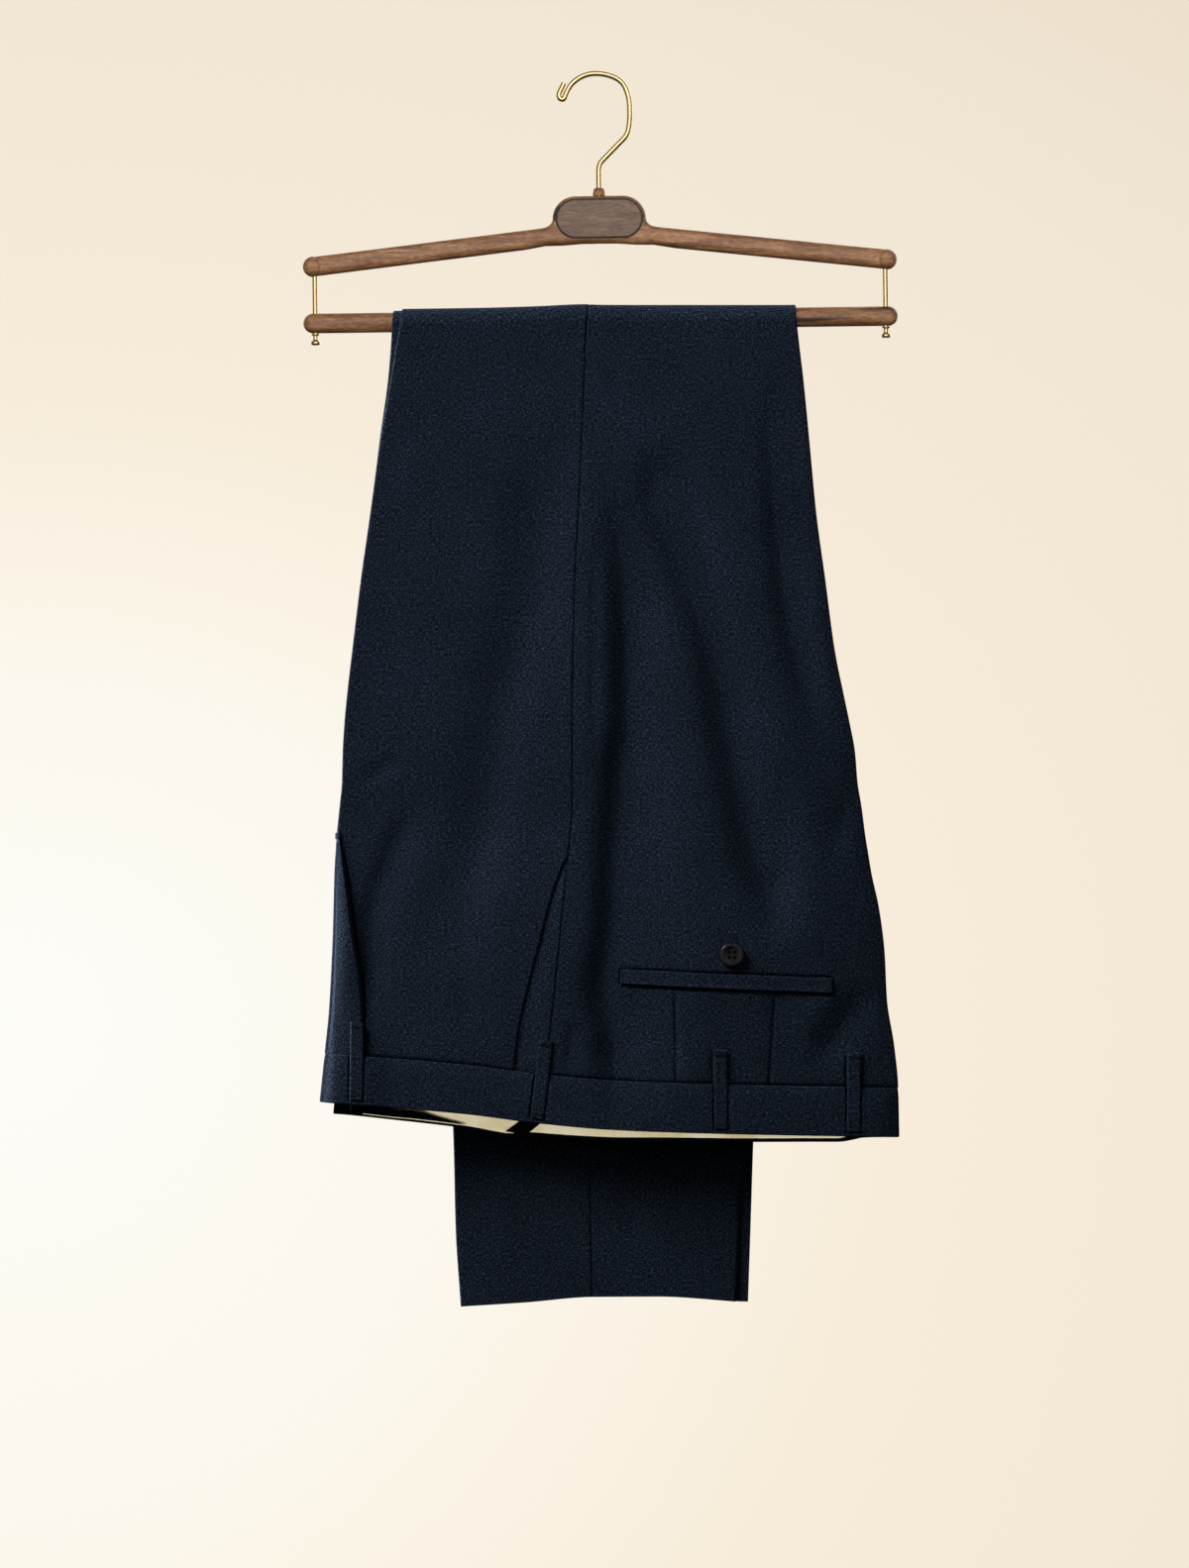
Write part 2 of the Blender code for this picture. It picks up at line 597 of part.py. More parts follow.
def make_waistband(name, side, collection):
    cuts = []
    for z in (WAIST_SEAM - GAP / 2, (WAIST_SEAM + WAIST_EDGE) / 2, WAIST_EDGE):
        row = half_section(z, side)
        left = [(row.front + x, offset) for x, offset in band_turn()]
        right = [(row.back - x, offset) for x, offset in reversed(band_turn())]
        start, stop = left[-1][0], right[0][0]
        middle = [start + (stop - start) * i / BAND_FLATS for i in range(1, BAND_FLATS)]
        line = left + [(x, band_stand(x, z, side)) for x in middle] + right
        cuts.append((line, on_front(z, side)))
    return cloth(name, cuts, BAND_WALL, FLANNEL, collection)


def band_turn():
    """The waistband's turn towards a centre seam, from the seam outwards."""
    deep = BAND_WALL / 2
    high = OUTER - SEAM_STOP
    return [(deep + BAND_TURN * (1 - math.cos(a)), SEAM_STOP + high * math.sin(a))
            for a in (0.0, math.pi / 6, math.pi / 3, math.pi / 2)]


def strip_on(name, side, lines, wall, finish, collection):
    """A piece that lies inside the waistband, made from the band's own points.

    A line is (z, lift, xs), and lift, a number or a function of x, is added to the band's stand.
    """
    cuts = []
    for z, lift, xs in lines:
        raised = lift if callable(lift) else lambda x, level=lift: level
        cuts.append(([(x, max(LEAST_STAND, band_stand(x, z, side) + raised(x))) for x in xs],
                     on_front(z, side)))
    return cloth(name, cuts, wall, finish, collection)


def make_lining(name, side, collection):
    """The waistband's lining, shown inside the far half and under the near one."""
    first, last = LINING_ENDS
    xs = [first + (last - first) * i / LINING_FLATS for i in range(LINING_FLATS + 1)]

    def under_facing(x):
        off = max(0.0, abs(x - FACING_MIDDLE) - FACING_HALF)
        return LINING_LIFT - UNDER_FACING * (1 - ease(off / FACING_FADE))

    lines = [(LINING_TOP, under_facing, xs), (WAIST_SEAM + 4.7, under_facing, xs),
             (WAIST_SEAM - 1.8, LINING_LIFT, xs), (WAIST_EDGE + LINING_SHORT, LINING_LIFT, xs)]
    return strip_on(name, side, lines, WALL, LINING, collection)


def make_extension(collection):
    """The waistband's self-cloth extension, inside the far half at centre front."""
    lift = LINING_LIFT - WALL / 2 - GAP - TAPE_WALL / 2
    levels = (WAIST_SEAM - 3.0, (WAIST_SEAM + WAIST_EDGE) / 2, WAIST_EDGE + 1.6)
    lines = [(z, lift, EXTENSION_COLUMNS) for z in levels]
    return strip_on("waistband_extension", FAR, lines, TAPE_WALL, FLANNEL, collection)


def make_hanging_loop(collection):
    """A short ribbon, sewn slantwise on the lining."""
    lift = LINING_LIFT - PITCH
    lines = [(z, lift, [x - slant for x in RIBBON_ENDS]) for z, slant in RIBBON_RUN]
    return strip_on("hanging_loop", FAR, lines, WALL, RIBBON, collection)


def make_belt_loop(name, side, x, collection):
    """A belt loop: caught on the panel at its top, flat over the waistband to its edge."""
    edges = (x - LOOP_WIDTH / 2, x + LOOP_WIDTH / 2)
    on_panel = WALL / 2 + GAP + TAPE_WALL / 2
    on_band = BAND_WALL / 2 + GAP + TAPE_WALL / 2
    cuts = []
    for z, share in LOOP_RISE:
        low = max(panel_stand(edge, z, side) for edge in edges) + on_panel
        line = []
        for edge in edges:
            high = band_stand(edge, min(z, WAIST_SEAM), side) + on_band
            line.append((edge, low + (max(high, low) - low) * share))
        cuts.append((line, on_front(z, side)))
    return cloth(name, cuts, TAPE_WALL, FLANNEL, collection)


def make_welt(name, side, collection):
    """The single welt of a hip pocket, flat on the back."""
    lift = WALL + GAP + WELT_CLEAR
    (first, last), (start, stop) = WELT_ENDS, WELT_LEVEL
    xs = [first + (last - first) * i / WELT_FLATS for i in range(WELT_FLATS + 1)]
    cuts = []
    for across in (WELT_HEIGHT / 2, -WELT_HEIGHT / 2):
        level = lambda x, across=across: start + (stop - start) * (x - first) / (last - first) + across
        cuts.append(([(x, panel_stand(x, level(x), side) + lift) for x in xs], on_front(level, side)))
    return cloth(name, cuts, WALL, FLANNEL, collection)


def cylinder(name, radius, depth, segments=16):
    work = bmesh.new()
    bmesh.ops.create_cone(work, cap_ends=True, segments=segments, radius1=radius * MM,
                          radius2=radius * MM, depth=depth * MM)
    mesh = bpy.data.meshes.new(name)
    work.to_mesh(mesh)
    work.free()
    return bpy.data.objects.new(name, mesh)


def cut_away(obj, cutter, cutters):
    """Cuts one object from another with a Boolean modifier."""
    cutter.hide_render = True
    cutter.display_type = "WIRE"
    cutters.objects.link(cutter)
    cut = obj.modifiers.new("cut " + cutter.name, "BOOLEAN")
    cut.operation = "DIFFERENCE"
    cut.object = cutter


def turned(name, profile, steps, finish, collection):
    """A turned piece: a profile of (radius, height), run from top to bottom, and a Screw."""
    mesh = bpy.data.meshes.new(name)
    verts = [(radius * MM, 0.0, height * MM) for radius, height in profile]
    mesh.from_pydata(verts, [(i, i + 1) for i in range(len(verts) - 1)], [])
    obj = bpy.data.objects.new(name, mesh)
    screw = obj.modifiers.new("turn", "SCREW")
    screw.steps = steps
    screw.render_steps = steps
    screw.use_merge_vertices = True
    screw.merge_threshold = 0.00001
    return finish_object(obj, finish, collection)


def make_button(name, side, collection, cutters):
    """A hip button with a raised rim and four holes, face outwards."""
    deep = BUTTON_THICK / 2
    profile = [(0.0, 0.9), (4.6, 0.9), (5.6, deep), (7.2, deep), (BUTTON_RADIUS, 0.6),
               (7.4, -1.2), (5.5, -deep), (0.0, -deep)]
    button = turned(name, profile, 20, HORN, collection)
    x, z = BUTTON_AT
    row = half_section(z, side)
    seat = stand(x, row, side) + WALL / 2 + GAP + BUTTON_SHANK + deep
    high = front_point(x - BUTTON_RADIUS, z, stand(x - BUTTON_RADIUS, row, side), side)
    low = front_point(x + BUTTON_RADIUS, z, stand(x + BUTTON_RADIUS, row, side), side)
    lean = math.atan2(low[1] - high[1], low[0] - high[0])
    button.location = Vector(front_point(x, z, seat, side)) * MM
    face = math.pi / 2 if side == NEAR else -math.pi / 2
    button.rotation_euler = (face, 0.0, lean)
    bpy.context.view_layer.update()
    place = Matrix.LocRotScale(button.location, button.rotation_euler, None)
    for i in range(4):
        angle = math.pi / 4 + i * math.pi / 2
        hole = cylinder("%s_hole_%d" % (name, i + 1), 0.9, 8.0, 8)
        offset = Vector((math.cos(angle), math.sin(angle), 0.0)) * HOLE_CIRCLE * MM
        hole.matrix_world = place @ Matrix.Translation(offset)
        cut_away(button, hole, cutters)
    return button


# ---------------------------------------------------------------- hanger
def arc(cx, cz, radius, first, last, count):
    """Points of an arc, angles in degrees."""
    return [(cx + radius * math.cos(math.radians(first + (last - first) * i / count)),
             cz + radius * math.sin(math.radians(first + (last - first) * i / count)))
            for i in range(count + 1)]


def arm_outline():
    """The right half of the arm and yoke from the top centre to the bottom centre."""
    border = INLAY_RADIUS + YOKE_BORDER
    slope = math.tan(ARM_SLOPE)
    arm_z = lambda x: ARM_LEVEL - x * slope
    points = [(0.0, YOKE_LEVEL + border)]
    points += arc(YOKE_STRAIGHT, YOKE_LEVEL, border, 90, 22, 6)
    points += [(34.0, -96.0), (38.0, -99.4), (45.0, arm_z(45.0) + ARM_RADIUS)]
    points += [(110.0, arm_z(110.0) + ARM_RADIUS)]
    points += arc(ARM_HALF, arm_z(ARM_HALF), ARM_RADIUS, 84, -96, 8)
    points += [(110.0, arm_z(110.0) - ARM_RADIUS), (46.0, arm_z(46.0) - ARM_RADIUS),
               (24.0, YOKE_UNDER - 1.2), (0.0, YOKE_UNDER)]
    return points


def flat_outline(name, points, half, edge, resolution=2):
    """A flat closed outline in X and Z as a mesh, with rounded edges."""
    curve = bpy.data.curves.new(name, "CURVE")
    curve.dimensions = "2D"
    curve.fill_mode = "BOTH"
    curve.extrude = (half - edge) * MM
    curve.bevel_depth = edge * MM
    curve.bevel_resolution = resolution
    curve.offset = -edge * MM
    spline = curve.splines.new("POLY")
    spline.points.add(len(points) - 1)
    spline.use_cyclic_u = True
    for target, (x, z) in zip(spline.points, points):
        target.co = (x * MM, z * MM, 0.0, 1.0)
    source = bpy.data.objects.new(name + "_curve", curve)
    bpy.context.scene.collection.objects.link(source)
    bpy.context.view_layer.update()
    shape = source.evaluated_get(bpy.context.evaluated_depsgraph_get())
    mesh = bpy.data.meshes.new_from_object(shape)
    bpy.data.objects.remove(source)
    work = bmesh.new()
    work.from_mesh(mesh)
    bmesh.ops.remove_doubles(work, verts=work.verts, dist=MERGE)
    bmesh.ops.recalc_face_normals(work, faces=work.faces)
    work.transform(Matrix.Rotation(math.pi / 2, 4, "X"))
    work.to_mesh(mesh)
    work.free()
    mesh.name = name
    return bpy.data.objects.new(name, mesh)


def stadium(radius):
    return (arc(YOKE_STRAIGHT, YOKE_LEVEL, radius, 90, -90, 12)
            + arc(-YOKE_STRAIGHT, YOKE_LEVEL, radius, 270, 90, 12))


def make_arm(collection, cutters):
    right = arm_outline()
    left = [(-x, z) for x, z in reversed(right[1:-1])]
    arm = flat_outline("upper_arm", right + left, ARM_THICK / 2, ARM_EDGE)
    finish_object(arm, WALNUT, collection)
    recess = flat_outline("inlay_recess", stadium(INLAY_RADIUS), 2.0, 0.0, 0)
    recess.location.y = (-ARM_THICK / 2 + INLAY_DEPTH - 2.0) * MM
    cut_away(arm, recess, cutters)
    deep = 2 * ARM_RADIUS
    for x, word in ((-ROD_SPAN, "left"), (ROD_SPAN, "right")):
        hole = cylinder("arm_hole_" + word, ROD_RADIUS + GAP, deep)
        hole.location = Vector((x, 0.0, rod_top() + GAP - deep / 2)) * MM
        cut_away(arm, hole, cutters)
    hole = cylinder("stem_hole", WIRE_RADIUS + GAP, 8.0)
    hole.location = Vector((0.0, 0.0, stem_foot() + 4.0 - GAP)) * MM
    cut_away(arm, hole, cutters)
    return arm


def rod_top():
    """Upper end of a rod, inside the arm."""
    return ARM_LEVEL - ROD_SPAN * math.tan(ARM_SLOPE) - 1.0


def stem_foot():
    """Lower end of the hook's stem, inside the yoke."""
    return YOKE_LEVEL + INLAY_RADIUS + YOKE_BORDER - 3.0


def make_inlay(collection):
    """A blank oval inlay, a hair below the yoke's face."""
    inlay = flat_outline("yoke_inlay", stadium(INLAY_RADIUS - GAP), INLAY_DEPTH / 2 - 0.2, 0.2, 0)
    inlay.location.y = (-ARM_THICK / 2 + INLAY_DEPTH / 2 - 0.1) * MM
    return finish_object(inlay, INLAY, collection)


def make_bar(collection, cutters):
    """The lower bar: a round bar with round ends, lying along X."""
    ends = 4
    quarter = [(BAR_RADIUS * math.sin(math.pi / 2 * i / ends), BAR_HALF - BAR_RADIUS
                + BAR_RADIUS * math.cos(math.pi / 2 * i / ends)) for i in range(ends + 1)]
    profile = quarter + [(radius, -height) for radius, height in reversed(quarter)]
    bar = turned("lower_bar", profile, 2 * BAR_STEPS, WALNUT, collection)
    bar.rotation_euler = (0.0, math.pi / 2, 0.0)
    bar.location.z = BAR_LEVEL * MM
    for x, word in ((-ROD_SPAN, "left"), (ROD_SPAN, "right")):
        hole = cylinder("bar_hole_" + word, ROD_RADIUS + GAP, 3 * BAR_RADIUS)
        hole.location = Vector((x, 0.0, BAR_LEVEL)) * MM
        cut_away(bar, hole, cutters)
    return bar


def make_rod(word, x, collection):
    """A brass rod with its collar and knob under the bar."""
    under = BAR_LEVEL - BAR_RADIUS - GAP
    profile = [(0.0, rod_top()), (ROD_RADIUS, rod_top()), (ROD_RADIUS, under), (2.7, under),
               (2.7, under - 0.9), (1.5, under - 1.3), (1.5, under - 4.2), (2.3, under - 5.2),
               (2.6, under - 6.6), (1.8, under - 7.6), (0.0, under - 7.6)]
    rod = turned("rod_" + word, profile, 12, BRASS, collection)
    rod.location.x = x * MM
    return rod


def make_ferrule(collection):
    """The collar between the yoke and the hook's stem."""
    low = YOKE_LEVEL + INLAY_RADIUS + YOKE_BORDER + GAP
    bore = WIRE_RADIUS + GAP
    profile = [(bore, low + 5.0), (3.2, low + 5.0), (3.6, low + 4.2), (4.0, low), (bore, low), (bore, low + 5.0)]
    return turned("ferrule", profile, 16, WALNUT, collection)


def hook_path():
    """Centre line of the hook's wire, from its foot in the yoke to its doubled tip."""
    middle = WIRE_RADIUS - HOOK_RADIUS
    points = [(0.0, stem_foot()), (0.0, -62.0), (0.3, -59.4), (1.2, -57.2), (3.0, -55.0)]
    points += [(16.2, -41.6), (18.6, -38.6), (20.2, -35.0), (21.2, -30.5)]
    points += arc(0.0, middle, HOOK_RADIUS, -14, 150, 16)[1:]
    points += [(-21.8, -12.2), (-24.0, -16.4)]
    # the end is doubled back outside the arc
    points += [(-25.4, -17.9), (-27.2, -17.6), (-27.9, -15.8), (-27.2, -13.2), (-25.0, -8.6), (-22.9, -5.4)]
    return points


def make_hook(collection):
    curve = bpy.data.curves.new("hook", "CURVE")
    curve.dimensions = "3D"
    curve.bevel_depth = WIRE_RADIUS * MM
    curve.bevel_resolution = 2
    curve.use_fill_caps = True
    path = hook_path()
    spline = curve.splines.new("POLY")
    spline.points.add(len(path) - 1)
    for target, (x, z) in zip(spline.points, path):
        target.co = (x * MM, 0.0, z * MM, 1.0)
    return finish_object(bpy.data.objects.new("hook", curve), BRASS, collection)


# ---------------------------------------------------------------- assembly
def build():
    for obj in list(bpy.data.objects):
        bpy.data.objects.remove(obj)
    trousers = bpy.data.collections.new("pleated_trousers_on_hanger")
    cutters = bpy.data.collections.new("cutters")
    bpy.context.scene.collection.children.link(trousers)
    bpy.context.scene.collection.children.link(cutters)

    tilt = bpy.data.objects.new("hanger_tilt", None)
    trousers.objects.link(tilt)
    tilt.rotation_euler.y = -TILT

    pieces = [make_arm(trousers, cutters), make_inlay(trousers), make_bar(trousers, cutters),
              make_rod("left", -ROD_SPAN, trousers), make_rod("right", ROD_SPAN, trousers),
              make_ferrule(trousers), make_hook(trousers)]
    hanger_cutters = [obj for obj in cutters.objects]
    for piece in pieces + hanger_cutters:
        piece.parent = tilt

    for word, side in (("near", NEAR), ("far", FAR)):
        make_panel("front_" + word, side, True, trousers)
        make_panel("back_" + word, side, False, trousers)
        make_facing("pocket_facing_" + word, side, trousers)
        make_waistband("waistband_" + word, side, trousers)
        make_lining("waist_lining_" + word, side, trousers)
        make_welt("hip_welt_" + word, side, trousers)
        make_button("hip_button_" + word, side, trousers, cutters)
        for number, x in enumerate(BELT_LOOPS):
            make_belt_loop("belt_loop_%s_%d" % (word, number + 1), side, x, trousers)
    make_extension(trousers)
    make_hanging_loop(trousers)


build()
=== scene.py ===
"""Pleated flannel dress trousers, folded in half and hung over the bar of a walnut
trouser hanger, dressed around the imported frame.

Tables and sizes are in millimetres, in the frame's own axes: +X right, +Z up, and
the front fall of the cloth on the -Y side. The wearer's right half is the near one
and the left half is the far one.
"""
import math
from collections import namedtuple
from functools import lru_cache, partial

import bmesh
import bpy
import numpy as np
from bpy.props import FloatProperty, FloatVectorProperty, PointerProperty
from mathutils import Matrix, Vector


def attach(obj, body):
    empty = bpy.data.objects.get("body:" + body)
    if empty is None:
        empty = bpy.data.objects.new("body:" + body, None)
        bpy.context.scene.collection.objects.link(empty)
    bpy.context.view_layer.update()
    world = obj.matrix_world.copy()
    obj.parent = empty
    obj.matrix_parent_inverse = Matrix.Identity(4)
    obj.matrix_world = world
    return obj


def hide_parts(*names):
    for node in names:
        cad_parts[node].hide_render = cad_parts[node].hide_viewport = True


bl_info = {
    "name": "Pleated trousers on a hanger",
    "version": (1, 0, 0),
    "blender": (4, 5, 0),
    "location": "3D View > Sidebar > Trousers",
    "description": "Flannel trousers, their sewing, the walnut hanger and the studio",
    "category": "Object",
}

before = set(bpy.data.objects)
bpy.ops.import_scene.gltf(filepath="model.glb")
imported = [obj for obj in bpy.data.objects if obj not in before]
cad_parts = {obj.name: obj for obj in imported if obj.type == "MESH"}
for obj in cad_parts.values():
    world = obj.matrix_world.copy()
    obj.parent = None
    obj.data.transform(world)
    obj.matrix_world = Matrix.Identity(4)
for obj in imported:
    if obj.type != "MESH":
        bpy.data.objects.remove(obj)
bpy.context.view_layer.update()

MM = 0.001
NEAR, FAR = 1, -1
HALVES = (("near", NEAR), ("far", FAR))

# ---------------- cut of the cloth
WALL = 1.0              # one thickness of flannel
BAND_WALL = 2.0         # waistband, folded over its interfacing
TAPE_WALL = 1.6         # the waistband's extension, folded double
GAP = 0.3               # between neighbours, at seams and between layers
PITCH = WALL + GAP
SAME_POINT = 1e-4       # nearer points of a cut are one
LEAST_STEP = 0.4        # places closer than this share of a fine step are one
MITRE = 0.5             # limits how far a wall reaches out at a sharp corner
MERGE = 1e-6            # and nearer points of a mesh, in metres

TILT = math.radians(0.75)       # the hanger hangs a little higher on the right
BAR_RADIUS = 6.6
BAR_LEVEL = -162.0
BAR_HALF = 198.0
BAR_STEPS = 20

MIDDLE = 2 * PITCH + GAP / 2    # from the bar out to the fold's middle plane
OUTER = 1.5 * PITCH             # outer wall, from the middle plane
SEAM_STOP = 0.3                 # centre seams stop this far off the middle plane
FORK_STOP = 0.25                # and this much further where they meet the creases
FORK_SPREAD = 14.0
TURN = 0.5 * PITCH              # radius of a pressed crease
TURN_STEPS = 8
PLEAT_STEPS = 6

CROTCH_TOP = -411.0     # inseam's upper end
CROTCH_FORK = -486.8    # where centre front and centre back leave the creases
WAIST_SEAM = -667.7
PANEL_END = -667.5
WAIST_EDGE = -700.7
HEM = -815.0
HEM_START = -640.0      # the legs begin to follow the hem's own line here
TILT_FADE = 100.0       # the hanger's tilt is lost over this height under the bar
BULGE = 0.75            # power that broadens a fall's fullness
SKEW = 1.5              # the front fall is fullest nearer its back edge

# Front fall of the near half, from the bar down to the waistband's edge.
Section = namedtuple("Section", "z front seam back mouth puff pleat under turn")


def plain(z, front, seam, back, puff):
    """A section above the pocket and the pleat."""
    return Section(z, front, seam, back, seam, puff, front, 0.0, 0)


FRONT_FALL = (
    plain(-162.0, -130.9, -6.9, 132.0, 0.0),
    plain(-182.0, -134.5, -7.9, 134.3, 0.5),
    plain(-204.3, -137.9, -8.6, 137.0, 1.2),
    plain(-246.6, -145.0, -10.4, 141.2, 3.0),
    plain(-291.5, -151.1, -12.3, 145.5, 4.6),
    plain(-335.7, -157.4, -14.7, 151.5, 5.9),
    plain(-381.9, -163.0, -15.8, 157.7, 7.1),
    plain(-411.0, -166.4, -16.2, 163.5, 7.9),
    plain(-430.0, -168.2, -16.4, 167.5, 8.3),
    plain(-450.0, -169.4, -16.4, 171.2, 8.7),
    plain(-470.3, -169.9, -16.4, 172.9, 9.2),
    plain(-486.8, -171.5, -16.5, 175.6, 9.6),
    plain(-505.0, -173.3, -17.8, 178.0, 10.0),
    Section(-517.0, -174.1, -19.0, 180.0, -19.0, 10.3, -168.6, 0.8, 75),
    Section(-530.0, -174.8, -20.2, 182.2, -24.6, 10.5, -166.2, 1.0, 115),
    Section(-552.8, -175.4, -22.4, 187.3, -31.8, 11.0, -163.6, 3.0, 180),
    Section(-580.0, -176.0, -25.1, 190.9, -38.4, 11.2, -160.7, 6.0, 180),
    Section(-611.6, -177.2, -28.1, 192.6, -46.2, 11.0, -156.4, 9.0, 180),
    Section(-640.0, -178.7, -31.2, 197.3, -52.2, 10.2, -154.3, 12.0, 180),
    Section(-667.5, -181.4, -34.0, 200.0, -55.2, 9.2, -154.4, 14.0, 180),
    Section(-700.7, -184.8, -36.0, 200.7, -57.2, 8.8, -155.4, 14.0, 180),
)
Leg = namedtuple("Leg", "z front seam back puff")
BACK_FALL = (
    Leg(-162.0, -135.3, -9.5, 125.4, 0.0),
    Leg(-230.0, -130.6, -9.0, 122.0, 0.8),
    Leg(-330.0, -123.4, -8.2, 116.5, 1.6),
    Leg(-440.0, -114.4, -7.4, 110.0, 2.0),
    Leg(-550.0, -105.6, -6.8, 103.4, 2.2),
    Leg(-640.0, -99.6, -6.2, 98.9, 2.2),
    Leg(-710.0, -96.0, -5.6, 95.9, 2.2),
    Leg(-765.0, -94.6, -4.4, 94.0, 2.0),
    Leg(-815.0, -91.2, -3.3, 92.2, 1.8),
)
Lead = namedtuple("Lead", "z rise")
PLEAT_LEAD = (Lead(-486.8, 0.0), Lead(-505.0, 0.6), Lead(-530.0, 2.4), Lead(-560.0, 4.2), Lead(-600.0, 5.4),
              Lead(-667.5, 5.8))
# In front of the near pleat the cloth rolls up this much more.
PLEAT_ROLL = (Lead(-486.8, 0.0), Lead(-505.0, 1.8), Lead(-530.0, 4.4), Lead(-560.0, 5.2), Lead(-600.0, 4.6),
              Lead(-640.0, 2.8), Lead(-667.5, 1.8), Lead(-700.7, 1.8))
ROLL_FALL = 18.0        # behind the pleat the waistband falls off over this width
ROLL_EDGE = 2.2         # and the cloth under it within this one
Shift = namedtuple("Shift", "z x")
FAR_SHIFT = (Shift(-162.0, -5.6), Shift(-182.0, -3.2), Shift(-204.3, -1.8), Shift(-260.0, 0.0))
NEAR_LEG_SHIFT = (Shift(-162.0, 6.3), Shift(-440.0, 7.6), Shift(-815.0, 8.3))
Edge = namedtuple("Edge", "x rise")
WAISTLINE = (
    Edge(-185.0, 18.0), Edge(-154.0, 15.8), Edge(-86.0, 10.1), Edge(-41.0, 4.4),
    Edge(11.0, -0.2), Edge(75.0, -2.6), Edge(165.0, -4.7), Edge(200.0, -5.5),
)
HEMLINE = (Edge(-92.0, -5.1), Edge(-48.0, -2.2), Edge(-3.0, 1.5), Edge(40.0, 1.7), Edge(95.0, -1.9))

Press = namedtuple("Press", "x share")
PRESSED = (             # share of their thickness that the four walls keep on top of the bar
    Press(-130.0, 0.46), Press(-83.0, 0.47), Press(-42.0, 0.58), Press(-10.0, 0.77), Press(2.0, 0.66),
    Press(61.0, 0.49), Press(123.0, 0.33),
)
PRESS_SPREAD = 0.7      # power of the height over the bar, with which they are pressed

Hang = namedtuple("Hang", "x drop")
FAR_HANG = (            # the far waist hangs this much lower than the near one
    Hang(-185.0, 7.1), Hang(-174.0, 7.4), Hang(-134.0, 8.8), Hang(-95.0, 10.0), Hang(-61.0, 11.0),
    Hang(-40.0, 10.4), Hang(0.0, 8.9), Hang(50.0, 6.8), Hang(104.0, 5.7), Hang(141.0, 4.7),
    Hang(161.0, 4.2), Hang(170.0, 2.6), Hang(177.0, 1.0), Hang(200.0, 0.0),
)
FAR_TUCK = 9.0          # the far waist's front corner lies this much further in
TUCK_START = CROTCH_FORK - 90.0
PLEAT_TUCK = 0.7
FAR_PUFF = 0.5

